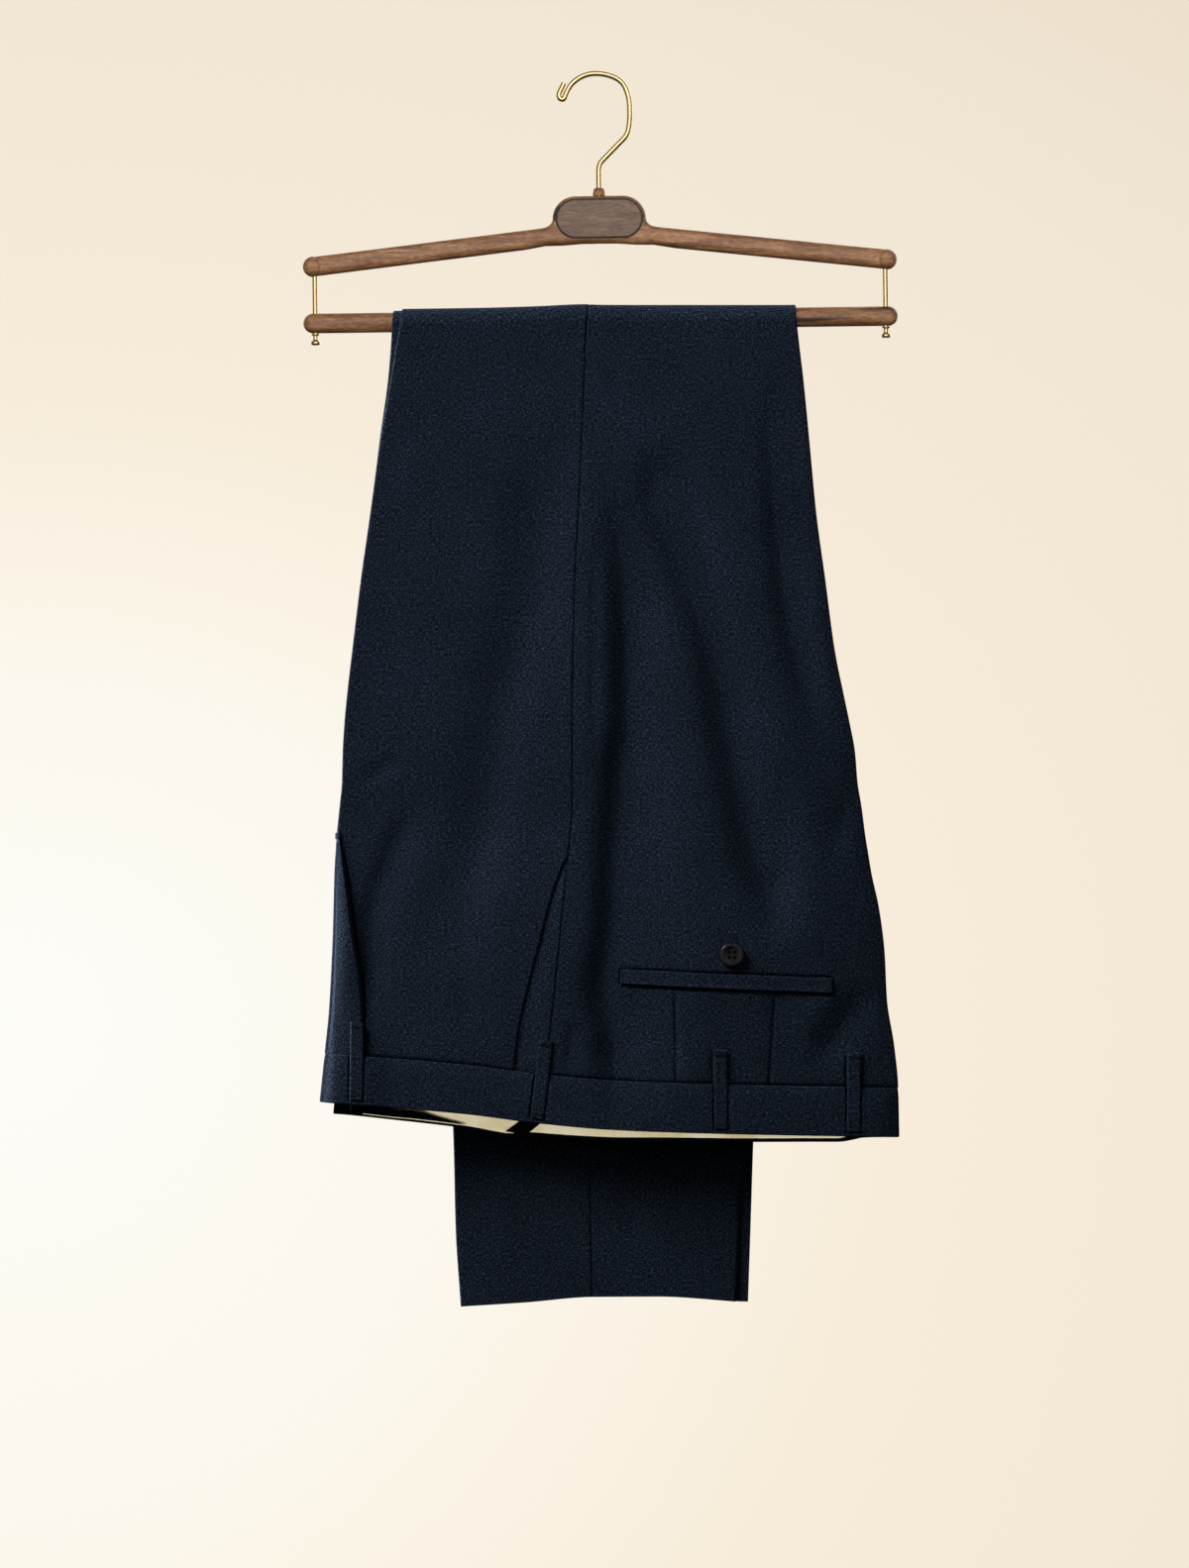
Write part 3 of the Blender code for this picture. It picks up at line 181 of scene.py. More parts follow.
# ---------------- soft creases
# Each runs along a path of (x, z) points, with its width to the left and right of
# it seen from the front, its depth (a trough is negative) and the shares of its
# length over which it comes and goes.
Crease = namedtuple("Crease", "left right depth come go path")
CREASES = {
    "near_front": (
        Crease(10.5, 26.0, -5.4, 0.27, 0.14, (
            (12, -238), (14, -292), (18, -332), (20, -371), (20, -431), (16, -455), (12, -510), (9, -569),
            (4, -609), (9, -632), (13, -668), (14, -705))),
        Crease(16.0, 20.0, -1.9, 0.35, 0.25, ((34, -440), (36, -500), (38, -560), (44, -610), (50, -650))),
        Crease(14.0, 21.0, -5.4, 0.14, 0.15, (
            (30, -240), (50, -292), (63, -332), (75, -371), (85, -420), (98, -490), (115, -550),
            (126, -585))),
        Crease(11.0, 8.5, -3.9, 0.22, 0.40, (
            (126, -185), (124, -226), (125, -266), (126, -305), (129, -345), (135, -385), (143, -424),
            (153, -465))),
        Crease(9.0, 10.0, -1.0, 0.30, 0.30, ((122, -440), (124, -480), (122, -530), (118, -580))),
        Crease(22.0, 17.0, -3.0, 0.25, 0.20, (
            (-14, -200), (-38, -300), (-43, -352), (-60, -411), (-70, -470), (-82, -520), (-97, -569),
            (-106, -612))),
        Crease(8.0, 13.0, -2.4, 0.30, 0.30, (
            (-118, -478), (-133, -510), (-146, -545), (-151, -585), (-150, -640))),
        Crease(9.0, 10.0, -1.6, 0.30, 0.40, ((186, -600), (166, -628), (150, -653), (143, -672))),
        Crease(9.0, 9.0, 0.9, 0.30, 0.40, ((162, -600), (146, -622), (128, -646))),
        Crease(5.0, 8.0, -1.6, 0.25, 0.30, ((17, -602), (28, -620), (38, -633), (50, -648), (56, -664))),
        Crease(4.0, 5.0, -0.9, 0.30, 0.30, ((-16, -628), (-18, -645), (-17, -664))),
        Crease(7.0, 9.0, -0.8, 0.30, 0.30, ((70, -610), (82, -632), (94, -655), (99, -676))),
        Crease(7.0, 9.0, -0.7, 0.30, 0.30, ((110, -612), (122, -632), (134, -652))),
        Crease(4.0, 5.0, -0.8, 0.40, 0.40, ((8, -192), (11, -206), (15, -222))),
        Crease(3.0, 3.4, -0.8, 0.25, 0.30, (
            (-1.2, -296), (-1.8, -345), (-2.2, -385), (-2.2, -425), (-0.6, -475))),
        Crease(5.0, 5.0, -1.5, 0.30, 0.50, ((-173, -476), (-158, -469), (-138, -459), (-122, -455))),
        Crease(12.0, 12.0, -0.6, 0.40, 0.40, ((-122, -182), (-108, -194), (-96, -212))),
        Crease(6.0, 9.0, -0.9, 0.30, 0.40, ((150, -250), (143, -300), (146, -345))),
        Crease(8.0, 9.0, -0.8, 0.30, 0.40, ((176, -470), (160, -500), (156, -540))),
        Crease(10.0, 12.0, 0.8, 0.40, 0.40, ((-118, -228), (-124, -262), (-128, -300))),
        Crease(7.0, 10.0, -0.7, 0.30, 0.30, ((-96, -560), (-88, -600), (-86, -640))),
    ),
    "far_front": (
        Crease(12.0, 22.0, -2.6, 0.20, 0.0, (
            (14, -240), (18, -330), (13, -430), (9, -540), (13, -640), (15, -705))),
        Crease(24.0, 20.0, -2.2, 0.25, 0.20, ((-58, -250), (-78, -380), (-92, -500), (-99, -620))),
        Crease(18.0, 14.0, -2.0, 0.25, 0.20, ((120, -235), (106, -350), (92, -480), (86, -600))),
        Crease(9.0, 14.0, -1.6, 0.30, 0.30, ((166, -500), (150, -560), (146, -610))),
        Crease(10.0, 7.0, -1.5, 0.30, 0.30, ((-150, -500), (-137, -560), (-134, -620))),
        Crease(8.0, 8.0, -1.2, 0.30, 0.40, ((184, -590), (165, -622), (150, -650))),
        Crease(6.0, 7.0, -1.0, 0.40, 0.40, ((-172, -470), (-156, -462), (-136, -450))),
        Crease(7.0, 7.0, 0.8, 0.40, 0.40, ((168, -548), (176, -590), (178, -640))),
        Crease(8.0, 8.0, 0.8, 0.30, 0.40, ((-120, -590), (-112, -625), (-108, -660))),
    ),
    "near_back": (
        Crease(16.0, 24.0, -1.9, 0.30, 0.35, ((-62, -176), (-58, -290), (-47, -420), (-44, -560))),
        Crease(20.0, 14.0, -1.7, 0.30, 0.35, ((78, -190), (70, -330), (58, -470), (52, -640))),
        Crease(9.0, 12.0, -1.1, 0.30, 0.30, ((36, -172), (30, -250), (34, -330))),
        Crease(7.0, 9.0, -0.9, 0.30, 0.40, ((-106, -196), (-92, -236), (-86, -290))),
        Crease(8.0, 8.0, -0.9, 0.30, 0.40, ((112, -204), (100, -250), (96, -300))),
        Crease(6.0, 6.0, -0.8, 0.40, 0.40, ((-100, -380), (-70, -392), (-40, -398))),
        Crease(6.0, 7.0, -0.8, 0.40, 0.40, ((100, -410), (72, -422), (42, -426))),
        Crease(9.0, 9.0, 0.8, 0.40, 0.40, ((-84, -640), (-60, -690), (-52, -760))),
        Crease(14.0, 18.0, -1.1, 0.30, 0.30, ((24, -560), (34, -660), (36, -790))),
        Crease(7.0, 7.0, -0.7, 0.40, 0.40, ((84, -640), (70, -668), (50, -684))),
    ),
    "far_back": (
        Crease(18.0, 22.0, -1.4, 0.30, 0.30, ((-54, -190), (-48, -420), (-42, -640), (-38, -790))),
        Crease(18.0, 14.0, -1.3, 0.30, 0.30, ((66, -190), (58, -420), (48, -640), (50, -800))),
        Crease(8.0, 9.0, -0.8, 0.40, 0.40, ((20, -700), (24, -750), (18, -806))),
        Crease(8.0, 8.0, 0.6, 0.40, 0.40, ((-70, -716), (-62, -760), (-66, -800))),
    ),
}
PATH_STEP = 7.0
PATH_REACH = 3.0        # a crease is felt over this many times its width
CREASE_END = 11.0       # creases have gone this far inside a panel's edge
CREASE_BEGIN = 18.0     # and they begin over this height under the bar
SOFT_FLOOR = 0.5        # where creases would go below the flat cloth they level out this softly
COCKLE = 0.10           # unevenness of the cloth between the creases
COCKLE_LENGTHS = (14.0, 46.0)
COCKLE_STRENGTHS = (0.6, 1.4)
COCKLE_WAVES = 22

# ---------------- sewn details
SEAM_DIP = 0.8          # the front's edge rolls down this far at a seam
SEAM_HALF = 0.8
BACK_DIP = 0.15         # and the back's edge this far
TURN_IN = 1.4           # a panel's end dips into the waist seam over this height
WAIST_DIP = 0.9
FINE_STEP = 0.9         # a panel's faces are this high at its welt and waist seam
# Rows of a panel's seam allowance, behind the waistband.
Allowance = namedtuple("Allowance", "below deep wall")
ALLOWANCE = (Allowance(0.5, 0.6, 0.7), Allowance(1.4, 0.8, 0.4), Allowance(3.6, 0.8, 0.4))
POCKET_TOP = -517.0
FACING_UNDER = 10.0
FACING_RISE = 9.0
FACING_STEP = 4.0
WELT_ENDS = (15.5, 156.3)
WELT_LEVEL = (-598.9, -602.1)
WELT_HEIGHT = 9.4
WELT_EDGE = 0.7         # radius of the welt's edges
WELT_FOLD = 0.35        # the fold at its mouth is this share thicker
WELT_FOLD_HIGH = 2.5
SLIT_DEEP = 2.2         # the pocket's slit under the welt
SLIT_HALF = 1.5
SLIT_OFF = 0.8          # and how far it lies under the welt's edge
WELT_SEAM = 1.2         # the groove round its other sides
WELT_OFF = 0.5
WELT_SIDE_OFF = 0.6
WELT_SIDE_HALF = 0.7
Dart = namedtuple("Dart", "x_upper x_lower")
DARTS = (Dart(50.9, 51.8), Dart(117.4, 113.4))
DART_TOP = -606.0
DART_DEEP = 0.8
DART_HALVES = (0.6, 2.4)        # a dart rolls steeply on one side and softly on the other
DART_COME = 0.1         # share of its length over which it comes

BAND_TURN = 1.6
BAND_RAMP = 12.0        # the band has its full stand this far in from its ends
BAND_SWELL = 7.0        # the band swells to its thickness this far below its seam
BAND_LEAST = 0.7        # from this share of it
BAND_RISE = 0.25        # and has risen by this share at the seam
BAND_EDGE = 0.9
BAND_STEP = 3.0         # its faces are this high
EDGE_STEP = 0.3         # and those at rounded edges this
LINING_ENDS = (-156.0, 180.0)
LINING_LOW = -124.0     # in front of this it lies low, clear of the pleat
LINING_SINK = 9.0
LINING_SLOPE = 14.0
LINING_TOP = -643.0
UNDER_FACING = 2.8      # it lies this much lower where the pocket facing lies on it
FACING_MIDDLE = -49.5
FACING_HALF = 17.0
FACING_FADE = 22.0
FACING_OVER = (1.0, 4.0)        # from this far above the waist seam, over this height
Short = namedtuple("Short", "x by")
LINING_SHORT = (        # the lining ends this much short of the waistband's edge
    Short(-156.0, 1.9), Short(-87.0, 1.8), Short(-61.0, 1.1), Short(-46.0, 3.4), Short(-20.0, 3.2),
    Short(85.0, 2.6), Short(117.0, 2.6), Short(160.0, 2.6), Short(169.0, 4.0), Short(180.0, 5.0),
)
LEAST_STAND = 0.8       # it keeps this far off the fold's middle plane
LINING_CLEAR = 0.5
LINING_LIFT = -(BAND_WALL / 2 + GAP + LINING_CLEAR + WALL / 2)
STRIP_EDGE = 0.6        # radius of the edges of what lies inside the band
EXTENSION_START = -165.0
EXTENSION_BELOW = 3.0   # it begins this far under the waist seam
Flap = namedtuple("Flap", "z end")
EXTENSION = (           # the extension's slanting end
    Flap(-698.3, -87.0), Flap(-694.2, -112.0), Flap(-693.6, -113.5), Flap(-692.8, -126.0),
    Flap(-691.2, -142.0), Flap(-670.0, -144.0),
)
RIBBON_ENDS = (-42.0, -27.5)
Slant = namedtuple("Slant", "z by")
RIBBON_RUN = (Slant(-671.0, -3.0), Slant(-684.0, 3.6), Slant(-690.7, 10.0), Slant(-698.7, 19.4))
Loop = namedtuple("Loop", "x lean")
BELT_LOOPS = (Loop(-159.7, 0.8), Loop(-37.0, 6.2), Loop(81.8, -0.6), Loop(170.3, 0.4))
LOOP_WIDTH = 9.0
LOOP_TOP = -645.0
LOOP_END = -697.9
LOOP_WALL = 1.2
LOOP_STEPS = (2.4, 0.45)        # height of its faces, along it and at its ends
LOOP_PRESS = 1.1        # the band gives way this much under a loop
LOOP_PRESS_END = (1.5, 2.0)     # to this far under its end, over this height
LOOP_GROOVE = 1.1
LOOP_GROOVE_HALF = 0.8
LOOP_GROOVE_FADE = 4.0
LOOP_GROOVE_STEP = 0.5
LOOP_FOLD = 3.4         # the ends of a loop are folded under and tacked this far in
LOOP_TACK = 0.35        # a tack presses it this share thinner
LOOP_TACK_HALF = 0.6
LOOP_DOUBLED = 0.25     # and its folded end is this share thicker
LOOP_EDGE = 1.0
LOOP_CLIMB = 10.0       # it climbs from the panel to the band over this height
LOOP_STIFF = 0.6        # share of its bend that its stiff tape evens out
BUTTON_AT = (88.9, -583.0)
BUTTON_RADIUS = 8.0
BUTTON_THICK = 3.0
BUTTON_SHANK = 0.2
BUTTON_ANGLE = 50.0
Keyhole = namedtuple("Keyhole", "x top bottom")
BUTTONHOLE = Keyhole(90.6, -569.6, -577.6)
HOLE_CIRCLE = 2.5
HOLE_RADIUS = 1.1
HOLE_LONG = 8.0
CLOTH_ANGLE = 40.0      # edges that turn more than this are shaded sharp, in degrees
FOLD_ANGLE = 75.0       # on narrow sewn pieces, those that turn more than this

# ---------------- hanger
ARM_LEVEL = -102.8
ARM_SLOPE = math.radians(6.4)
ARM_HALF = 191.0
ARM_RADIUS = 6.5
ARM_THICK = 12.0
ARM_EDGE = 4.9
YOKE_LEVEL = -94.8
YOKE_STRAIGHT = 15.8
INLAY_RADIUS = 13.4
YOKE_BORDER = 1.9
INLAY_DEPTH = 2.6
INLAY_SUNK = 0.1
INLAY_EDGE = 0.35
INLAY_GROOVE = 0.5      # gap round the inlay
INLAY_LINE = 1.0        # the nearly black line painted along its edge is this wide
RECESS_HALF = 2.0       # half the depth of the block that cuts its recess
ARM_THIN = 0.24         # the arm's ends are this share thinner than the yoke
ARM_THIN_FROM = 45.0
ARM_THIN_OVER = 120.0
ARM_ANGLE = 35.0
BALL_RADIUS = 6.85
YOKE_UNDER = -111.3
ROD_SPAN = 190.0
ROD_RADIUS = 1.7
WIRE_RADIUS = 1.8
WIRE_STEP = 0.7


# ---------------- numbers
@lru_cache(maxsize=None)
def knots(table, column):
    """The keys, values and slopes of a table's column. Its first column holds the keys."""
    keys = np.array([row[0] for row in table], float)
    values = np.array([getattr(row, column) for row in table], float)
    if keys[0] > keys[-1]:
        keys, values = keys[::-1], values[::-1]
    chord = np.diff(values) / np.diff(keys)
    slopes = np.concatenate([chord[:1], np.zeros(len(keys) - 2), chord[-1:]])
    product = chord[:-1] * chord[1:]
    total = np.where(product > 0, chord[:-1] + chord[1:], 1.0)
    slopes[1:-1] = np.where(product > 0, 2 * product / total, 0.0)
    return keys, values, slopes


def read(table, column, at):
    """The value of a column of a table at a key or keys, on a smooth curve through its rows."""
    keys, values, slopes = knots(table, column)
    at = np.clip(at, keys[0], keys[-1])
    i = np.clip(np.searchsorted(keys, at, side="right") - 1, 0, len(keys) - 2)
    width = keys[i + 1] - keys[i]
    t = (at - keys[i]) / width
    rise = values[i + 1] - values[i]
    start = slopes[i] * width
    stop = slopes[i + 1] * width
    return values[i] + start * t + (3 * rise - 2 * start - stop) * t ** 2 + (start + stop - 2 * rise) * t ** 3


def ease(t):
    """0 to 1 with level ends."""
    t = np.clip(t, 0.0, 1.0)
    return t * t * (3 - 2 * t)


def spread(first, last, step, fine=(), fine_step=1.0):
    """Places from first to last, closer together within the (low, high) ranges in fine."""
    places = list(np.linspace(first, last, max(2, int(abs(last - first) / step) + 1)))
    for low, high in fine:
        places += list(np.arange(max(low, min(first, last)), min(high, max(first, last)), fine_step))
    places = sorted(set(np.round(places, 4)), reverse=first > last)
    kept = places[:1]
    for place in places[1:-1]:
        if min(abs(place - kept[-1]), abs(place - places[-1])) > LEAST_STEP * fine_step:
            kept.append(place)
    return np.array(kept + places[-1:])


def edge_ranges(low, high, reach):
    """The (low, high) ranges along both edges of a span, for spread."""
    return (low, low + reach), (high - reach, high)


def rounding(distance, radius, least=0.3):
    """How much of its thickness an edge has at a distance in, for a rounded edge."""
    t = np.clip(1 - np.asarray(distance, float) / radius, 0.0, 1.0)
    return np.maximum(np.sqrt(1 - t * t), least)


# ---------------- creases
@lru_cache(maxsize=None)
def smooth_path(points, step=PATH_STEP):
    """Points about a step apart along a smooth curve through a path's own points, and its tangents."""
    points = np.array(points, float)
    ends = np.vstack([2 * points[0] - points[1], points, 2 * points[-1] - points[-2]])
    parts = []
    for a, b, c, d in zip(ends, ends[1:], ends[2:], ends[3:]):
        count = max(2, int(np.linalg.norm(c - b) / step))
        t = np.arange(count)[:, None] / count
        parts.append(0.5 * (2 * b + (c - a) * t + (2 * a - 5 * b + 4 * c - d) * t ** 2
                            + (3 * b - a - 3 * c + d) * t ** 3))
    path = np.vstack(parts + [points[-1:]])
    return path, np.gradient(path, axis=0)


def crease_depth(crease, x, z):
    """One crease at points."""
    path, tangent = smooth_path(crease.path)
    reach = PATH_REACH * max(crease.left, crease.right)
    low, high = path.min(0) - reach, path.max(0) + reach
    near = (x > low[0]) & (x < high[0]) & (z > low[1]) & (z < high[1])
    depth = np.zeros(x.shape)
    if not near.any():
        return depth
    dx = x[near][:, None] - path[:, 0]
    dz = z[near][:, None] - path[:, 1]
    square = dx ** 2 + dz ** 2
    i = square.argmin(1)
    row = np.arange(len(i))
    right = tangent[i, 0] * dz[row, i] - tangent[i, 1] * dx[row, i] > 0
    pace = (tangent[i] ** 2).sum(1)
    along = np.clip((dx[row, i] * tangent[i, 0] + dz[row, i] * tangent[i, 1]) / pace, -0.5, 0.5)
    share = (i + along) / (len(path) - 1)
    inner = (i > 0) & (i < len(path) - 1)
    apart = square[row, i] - np.where(inner, along ** 2 * pace, 0.0)
    half = np.where(right, crease.right, crease.left)
    come = ease(share / crease.come) if crease.come else 1.0
    go = ease((1 - share) / crease.go) if crease.go else 1.0
    depth[near] = crease.depth * come * go * np.exp(-np.maximum(apart, 0.0) / half ** 2)
    return depth


@lru_cache(maxsize=None)
def cockle_waves(fall):
    """Directions, phases and strengths of a fall's small unevenness."""
    draw = np.random.default_rng(sum(map(ord, fall)))
    lengths = draw.uniform(*COCKLE_LENGTHS, COCKLE_WAVES)
    angles = draw.uniform(0, 2 * math.pi, COCKLE_WAVES)
    phases = draw.uniform(0, 2 * math.pi, COCKLE_WAVES)
    strengths = lengths / lengths.sum() * draw.uniform(*COCKLE_STRENGTHS, COCKLE_WAVES)
    wave = 2 * math.pi / lengths
    return wave * np.cos(angles), wave * np.sin(angles), phases, strengths


def relief(x, z, fall):
    """All soft creases of one fall together at points, with its small unevenness."""
    x, z = np.broadcast_arrays(np.asarray(x, float), np.asarray(z, float))
    flat_x, flat_z = x.ravel(), z.ravel()
    total = sum(crease_depth(crease, flat_x, flat_z) for crease in CREASES[fall])
    across, along, phases, strengths = cockle_waves(fall)
    waves = np.sin(flat_x[:, None] * across + flat_z[:, None] * along + phases) @ strengths
    return (total + COCKLE * math.sqrt(COCKLE_WAVES) * waves).reshape(x.shape)


def creased(x, level, row, fall):
    """A fall's creases across one of its cuts. They end at the cut's edges and at the bar."""
    inside = ease((x - row.front) / CREASE_END) * ease((row.back - x) / CREASE_END)
    begun = ease((BAR_LEVEL - row.z) / CREASE_BEGIN)
    return relief(x, level, fall) * inside * begun * bpy.context.scene.trousers_cut.folds


# ---------------- cloth surfaces
def waist_share(z):
    """How far a level has taken on the waistline's own shape, from 0 to 1."""
    return ease((CROTCH_FORK - z) / (CROTCH_FORK - WAIST_SEAM))


def front_level(x, z, side):
    """The true height of a panel's level at x."""
    share = waist_share(z)
    level = z + read(WAISTLINE, "rise", x) * share
    level = level + x * math.tan(TILT) * ease(1 - (BAR_LEVEL - z) / TILT_FADE)
    if side == FAR:
        level = level - read(FAR_HANG, "drop", x) * share
    return level


def metres(x, y, z):
    """Points in metres from places in millimetres."""
    return np.stack(np.broadcast_arrays(x, y, z), -1) * MM


def front_point(x, z, offset, side):
    """A point of the front fall: offset is measured out from the fold's middle plane."""
    return metres(x, -(BAR_RADIUS + MIDDLE + side * offset), front_level(x, z, side))


def bar_point(x, angle, offset, side):
    """A point over the bar: 0 is level with its axis in front, pi behind.

    On top the walls are pressed thin.
    """
    pressed = (1 - read(PRESSED, "share", x)) * max(0.0, math.sin(angle)) ** PRESS_SPREAD
    reach = BAR_RADIUS + (MIDDLE + side * offset) * (1 - pressed)
    return metres(x, -reach * np.cos(angle), BAR_LEVEL + x * math.tan(TILT) + reach * np.sin(angle))


def back_point(x, z, offset, side):
    """A point of the back fall, behind the bar."""
    fade = ease(1 - (BAR_LEVEL - z) / TILT_FADE)
    hem = ease((z - HEM_START) / (HEM - HEM_START))
    level = z + x * math.tan(TILT) * fade + read(HEMLINE, "rise", x) * hem
    return metres(x, BAR_RADIUS + MIDDLE + side * offset, level)


def on_front(z, side):
    """Where a cut at a level, or a level for each x, lies on the front fall."""
    return lambda x, offset: front_point(x, z(x) if callable(z) else z, offset, side)


def on_bar(angle, side):
    """Where a cut at an angle lies over the bar."""
    return lambda x, offset: bar_point(x, angle, offset, side)


def on_back(z, side):
    """Where a cut at a level lies on the back fall."""
    return lambda x, offset: back_point(x, z, offset, side)


def half_section(z, side):
    """A section of one half at a level or levels."""
    row = Section(z, *[read(FRONT_FALL, column, z) for column in Section._fields[1:]])
    if side == NEAR:
        return row
    shift = read(FAR_SHIFT, "x", z)
    tuck = FAR_TUCK * ease((TUCK_START - z) / (TUCK_START - WAIST_EDGE))
    return row._replace(front=row.front + shift + tuck, seam=row.seam + shift, back=row.back + shift,
                        mouth=row.mouth + shift, pleat=row.pleat + shift + PLEAT_TUCK * tuck,
                        puff=row.puff * FAR_PUFF)


def bulge(x, front, back, skew=1.0):
    """The share of a wall's puff at x: none at its edges, all between them."""
    return np.sin(math.pi * np.clip((x - front) / (back - front), 0.0, 1.0) ** skew) ** BULGE


def roll(t):
    """A quarter of an ellipse: 1 at 0, falling ever more steeply to 0 at 1."""
    return np.sqrt(np.clip(1 - np.clip(t, 0.0, 1.0) ** 2, 0.0, 1.0))


def settle(lift):
    """Keeps the cloth from going under its flat level, softly."""
    return (lift + np.sqrt(lift ** 2 + SOFT_FLOOR ** 2) - SOFT_FLOOR) / 2


def roll_behind(x, row, side):
    """How far the waistband is still rolled up behind the pleat."""
    rolled = read(PLEAT_ROLL, "rise", row.z) if side == NEAR else 0.0
    return rolled * (1 - ease((x - row.pleat) / ROLL_FALL))


def stand(x, row, side):
    """How far the outer wall's middle stands out from the fold's middle plane."""
    lead = read(PLEAT_LEAD, "rise", row.z)
    rolled = roll_behind(row.pleat, row, side)
    before = (lead + rolled) * roll(1 - (x - row.front) / np.maximum(row.pleat - row.front, 1.0))
    after = lead * (1 - ease((x - row.pleat) / (row.back - row.pleat)))
    after = after + roll_behind(x, row, side)
    creases = creased(x, front_level(x, row.z, side), row, "near_front" if side == NEAR else "far_front")
    return OUTER + settle(np.where(x < row.pleat, before, after)
                          + row.puff * bulge(x, row.front, row.back, SKEW) + creases)


def leg_stand(x, leg, side):
    """The same for the back fall."""
    creases = creased(x, leg.z, leg, "near_back" if side == NEAR else "far_back")
    return OUTER + settle(leg.puff * bulge(x, leg.front, leg.back) + creases)


def dip(distance, deep=SEAM_DIP, half=SEAM_HALF, beyond=None):
    """The narrow trough along a seam. It may be wider or narrower beyond the seam."""
    half = half if beyond is None else np.where(np.asarray(distance) > 0, beyond, half)
    return -deep * np.exp(-(distance / half) ** 2)


def back_sewing(x, row):
    """Troughs of the seams and darts and the slit of the hip pocket, in a back."""
    total = dip(x - row.seam, BACK_DIP)
    total = total + dip(row.z - WAIST_SEAM, WAIST_DIP, TURN_IN) + loop_grooves(x, row.z)
    half = WELT_HEIGHT / 2
    centre = welt_level(x)
    under = (x > WELT_ENDS[0]) & (x < WELT_ENDS[1])
    slit = dip(row.z - (centre - half - SLIT_OFF), SLIT_DEEP, SLIT_HALF)
    total = total + np.where(under, slit + dip(row.z - (centre + half + WELT_OFF), WELT_SEAM), 0.0)
    beside = np.abs(row.z - centre) < half + WELT_SIDE_OFF
    ends = (dip(x - WELT_ENDS[0] + WELT_SIDE_OFF, WELT_SEAM, WELT_SIDE_HALF)
            + dip(x - WELT_ENDS[1] - WELT_SIDE_OFF, WELT_SEAM, WELT_SIDE_HALF))
    total = total + np.where(beside, ends, 0.0)
    share = (DART_TOP - row.z) / (DART_TOP - WAIST_SEAM)
    for dart in DARTS:
        at = dart.x_upper + (dart.x_lower - dart.x_upper) * share
        total = total + dip(x - at, DART_DEEP, *DART_HALVES) * ease(share / DART_COME)
    return total


def front_sewing(x, row):
    """Troughs along the outseam or the pocket mouth and along the waist seam, in a front."""
    return dip(x - row.mouth) + dip(row.z - WAIST_SEAM, WAIST_DIP, TURN_IN)


def crease_turn(edge, into, z):
    """The turn at an edge: a quarter turn at a centre seam, a half one at a crease."""
    share = ease((z - CROTCH_FORK + 2 * FORK_SPREAD) / (3 * FORK_SPREAD))
    past = math.pi / 2 * share
    low = SEAM_STOP * (1 - share) + (GAP + WALL * math.sin(past)) / 2 * share
    low += FORK_STOP * 4 * share * (1 - share)
    radius = (OUTER - low) / (1 + math.sin(past))
    angle = (math.pi / 2 + past) * np.arange(TURN_STEPS + 1) / TURN_STEPS
    return np.stack([edge + into * (WALL / 2 + radius - radius * np.sin(angle)),
                     OUTER - radius + radius * np.cos(angle)], -1)


def wing_reach(z):
    """How much of the inner wall there is at a level: none at the fork, all at the inseam."""
    f = min(1.0, max(0.0, (z - CROTCH_FORK) / (CROTCH_TOP - CROTCH_FORK)))
    return 1 - math.sqrt(1 - f * f)


def paired(x, offset):
    """A cut's points from its places and offsets."""
    return np.stack(np.broadcast_arrays(x, offset), -1)


def leg_columns(row, edge, columns, stand_at):
    """One panel's cut across a leg, from the outseam round the crease to the inseam."""
    into = -1 if edge > row.seam else 1
    seam_side = row.seam - into * GAP / 2
    turn = crease_turn(edge, into, row.z)
    x = seam_side + (turn[0, 0] - seam_side) * columns[:-1]
    end, low = turn[-1]
    wing = end + (seam_side - end) * WING_COLUMNS[1:] * wing_reach(row.z)
    return np.vstack([paired(x, stand_at(x)), turn, paired(wing, low)])


# ---------------- columns
def graded(count, ends=()):
    """Shares from 0 to 1, with extra ones within the (low, high, count) ranges in ends."""
    shares = list(np.linspace(0.0, 1.0, count))
    for low, high, extra in ends:
        shares += list(np.linspace(low, high, extra))
    return np.unique(np.round(shares, 5))


SEAM_COLUMNS = (0.0, 0.016, 6)
FRONT_COLUMNS = graded(52, (SEAM_COLUMNS,))
BACK_COLUMNS = graded(52, ((0.0, 0.055, 14), (0.186, 0.2, 7), (0.345, 0.378, 12), (0.469, 0.482, 6),
                           (0.622, 0.668, 17), (0.838, 0.868, 12)))
FACING_COLUMNS = graded(14, ((0.9, 1.0, 6),))
HIDDEN_COLUMNS = np.array([0.35, 0.7, 1.0])
ROLL_COLUMNS = np.linspace(0.0, 1.0, 7)[1:]
CENTRE_COLUMNS = np.linspace(0.0, 1.0, 10)[1:-1]
WING_COLUMNS = np.linspace(0.0, 1.0, 9)
BAND_COLUMNS = 130      # how many
EXTENSION_COLUMNS = 34
RIBBON_COLUMNS = 12
LOOP_COLUMNS = 13


def with_spare(points):
    """A front's cut above its pleat, whose points are closed up at the crease."""
    crease = len(FRONT_COLUMNS) - 1
    spare = 2 * PLEAT_STEPS + 2 + len(HIDDEN_COLUMNS) + len(ROLL_COLUMNS) + len(CENTRE_COLUMNS)
    return np.vstack([points[:crease], np.repeat(points[crease:crease + 1], spare, 0), points[crease:]])


